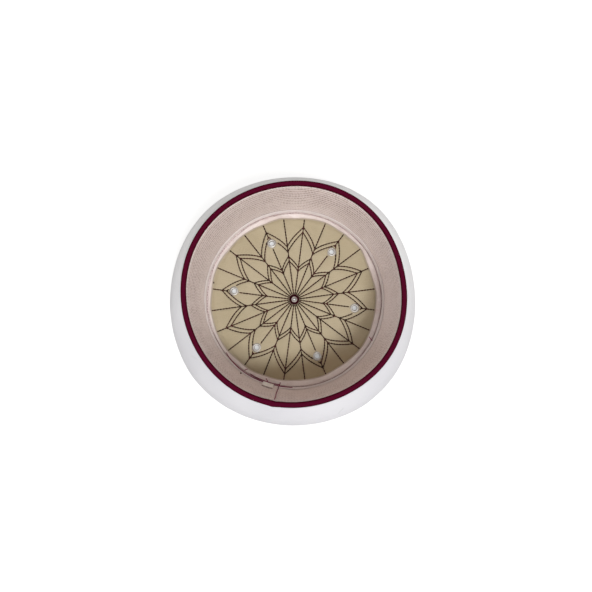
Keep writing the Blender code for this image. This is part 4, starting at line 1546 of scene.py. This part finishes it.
def cloth_face(share, heights, bearings):
    """The radius at a share of the cloth's depth."""
    depth = closed_curve(WIDEST_OUTLINE, bearings) - wall_radius(WIDEST_HEIGHT)
    return wall_radius(heights) + share * depth * depth_left(heights)


def pulls(heights, bearings, seed):
    """Long slanted pulls of the cloth: waves round the cap, each with its own slant as it climbs."""
    chance = np.random.default_rng(seed)
    angle = np.radians(bearings)
    total = np.zeros(np.broadcast_shapes(np.shape(heights), np.shape(bearings)))
    for waves, slant in PULL_WAVES:
        phase = chance.uniform(0, math.tau)
        total = total + np.sin(waves * angle + slant * heights + phase) / waves**0.6
    return total / PULL_SCALE


def pleat_lines(number, bearings):
    """The heights of a turn's fold and of the pleats above it, each gap wandering by three waves."""
    fold_height, swing, highest, _, pleats = CLOTH_TURNS[number - 1]
    angle = np.radians(bearings)
    lines = [fold_height + swing * np.cos(np.radians(bearings - highest))]
    for order, (gap, _) in enumerate(pleats):
        wander = sum(
            share * np.sin(waves * angle + turn_shift * number + pleat_shift * order)
            for share, waves, turn_shift, pleat_shift in GAP_WAVES
        )
        lines.append(lines[-1] + gap * (1 + wander))
    return lines


def row_heights(lines, top, last):
    """Rows of heights along the lines: crowded above each line, then even up to the top."""
    rows = []
    for line, after in zip(lines, lines[1:]):
        rows += [line + (after - line) * share for share in PLEAT_ROWS]
    calm = CALM_HEIGHT if last else top
    climb = np.linspace(0, 1, LAST_CLIMB_ROWS if last else CLIMB_ROWS) ** 1.5
    rows += [lines[-1] + (calm - lines[-1]) * share for share in climb]
    if last:
        rows += [np.full_like(lines[0], height) for height in np.linspace(calm, top, CALM_ROWS)[1:]]
    return np.array(rows)


def rounded(height, reach):
    """A quarter ellipse: 0 up to a height of 0, rising steeply, and level at 1 from the reach on."""
    share = np.clip(height / reach, 0.0, 1.0)
    return np.sqrt(1 - (1 - share) ** 2)


def inner_face(number, heights, bearings):
    """Where a turn rests: on the turn before, then on the wall, and at the top on the binding's side."""
    share = CLOTH_TURNS[number - 2][3] if number > 1 else 0.0
    face = cloth_face(share, heights, bearings)
    face = face + (wall_radius(heights) - face) * smooth_step(heights, HIDDEN_TOP, WRAP_TOP - 1.0 * MM)
    beside_binding = smooth_step(heights, BINDING_FOOT - 1.0 * MM, BINDING_FOOT - 0.2 * MM)
    return face + (BINDING_OUTER - face) * beside_binding + GAP


def make_turn(number):
    """Round the fold's nose, up the outer face to the top, then down the inner face."""
    _, _, _, outer_share, pleats = CLOTH_TURNS[number - 1]
    last = number == len(CLOTH_TURNS)
    bearings = even_bearings(LAST_TURN_COLUMNS if last else TURN_COLUMNS)
    top = LIP_TOP if last else HIDDEN_TOP
    lines = pleat_lines(number, bearings)
    heights = row_heights(lines, top, last)
    inner = inner_face(number, heights, bearings)
    tightness = FOLD_START * (1 + FOLD_CHANGE * np.sin(np.radians(2 * bearings + 80 * number)))
    fullness = tightness + (1 - tightness) * rounded(heights - lines[0], FOLD_ROUND)
    face = inner + (cloth_face(outer_share, heights, bearings) - inner) * fullness
    hollow = bump_at(heights - lines[0], 0.0, FOLD_SHADE)
    if not last:
        next_fold = pleat_lines(number + 1, bearings)[0]
        hollow = hollow + bump_at(heights - next_fold, 0.0, NEXT_FOLD_SHADE)
    for order, (line, (_, step)) in enumerate(zip(lines[1:], pleats)):
        place = np.radians((2 + order % 2) * bearings) + 2.3 * number + 4.1 * order
        strength = PLEAT_STRENGTH + PLEAT_CHANGE * np.sin(place)
        face = face - step * strength * (1 - rounded(heights - line, PLEAT_ROUND))
        face = face - PLEAT_GROOVE * strength * bump_at(heights - line, -0.35 * MM, 0.55 * MM)
        hollow = hollow + strength * bump_at(heights - line, -0.1 * MM, PLEAT_SHADE)
    loose = smooth_step(heights, *PULLS_CALM) if last else 1.0
    wave = pulls(heights, bearings, WRAP_SEED + number)
    depth = (LEAST_PULL + MORE_PULL * loose) * smooth_step(top - heights, 0.0, PULL_FADE)
    face = face + wave * depth
    face = np.maximum(face, inner + LEAST_CLOTH)
    thickness = face[0] - inner[0]
    nose = [(inner[0] + share * thickness, lines[0] + lift) for share, lift in FOLD_NOSE]
    foot = lines[0] + FOLD_NOSE[0][1]
    inside_rows = LAST_INSIDE_ROWS if last else INSIDE_ROWS
    inside_heights = foot + (top - foot) * np.linspace(1, 0, inside_rows)[:, None] ** 0.5
    inside = inner_face(number, inside_heights, bearings)
    radii = np.vstack([[row[0] for row in nose], face[1:], inside[:-1]])
    rows = np.vstack([[row[1] for row in nose], heights[1:], inside_heights[:-1] * np.ones(len(bearings))])
    piece = round_skin(f"cloth_turn_{number}", np.stack([radii, rows], axis=2), bearings)
    shade = np.zeros(radii.shape)
    shade[: len(nose)] = 0.9
    shade[len(nose) : len(nose) + len(heights) - 1] = np.minimum(hollow[1:], 1.0)
    layer = piece.data.attributes.new("shade", "FLOAT", "POINT")
    layer.data.foreach_set("value", shade.astype(np.float32).ravel())
    return piece


def crease(x, y, z, middle, bearing, length, width):
    """1 along a short straight line over the upper face: near the line, and not past its ends."""
    along = direction(bearing)
    off = AXIS + middle
    run = (x - off[0]) * along[0] + (y - off[1]) * along[1]
    aside = (x - off[0]) * along[1] - (y - off[1]) * along[0]
    near = aside.size().ramp(width, 0.0) * run.size().ramp(length / 2, length / 2 * 0.5)
    return near * z.ramp(WIDEST_HEIGHT, WIDEST_HEIGHT + 4 * MM)


CREASES = (
    # where its middle lies from the axis, which way it runs, length, width
    ((40.2 * MM, -100.0 * MM), 41.0, 8.5 * MM, 0.8 * MM),
    ((-86.0 * MM, -53.8 * MM), 300.0, 8.0 * MM, 0.7 * MM),
)


def white_cotton():
    finish = Finish("white_cloth", 0.88, gloss=0.12, sheen=0.08)
    x, y, z = finish.place()
    turn, along = finish.cloth_map()
    weave = plain_weave(turn * 0.68, along, 0.38 * MM)
    streaks = finish.noise(42.0, detail=5.0, squeeze=(1, 1, 7))
    patches = finish.noise(14.0)
    washed = finish.mix(patches.ramp(0.35, 0.65), (0.622, 0.625, 0.668), (0.666, 0.668, 0.710))
    # painted light: the cloth is lighter towards the back
    painted_light_back = (y + x * 0.08).ramp(-70 * MM, 75 * MM)
    base = finish.mix(painted_light_back * 0.80, washed, (0.86, 0.865, 0.875))
    rough = z.ramp(64 * MM, 34 * MM) * 0.8 + 0.2
    toned = finish.mix(streaks.ramp(0.5, 0.8) * rough * 0.22, base, (0.60, 0.61, 0.64))
    first, second = (crease(x, y, z, *row) for row in CREASES)
    # painted shade in the two creases, which are dented as well
    crease_shade = first + second
    hollow = finish.add("ShaderNodeAttribute", {"attribute_name": "shade"}, output=2)
    shaded = finish.mix(hollow * 0.60, toned, (0.36, 0.37, 0.40))
    colour = finish.mix(crease_shade * 0.40, shaded, (0.50, 0.51, 0.53))
    return finish.done(colour, weave * 0.25 + streaks * rough * 3.0 - crease_shade, 0.00022)


white_material = white_cotton()
for number in range(1, len(CLOTH_TURNS) + 1):
    piece = settle(make_turn(number), white_material, "white_cloth", f"wrap_turn_{number}")
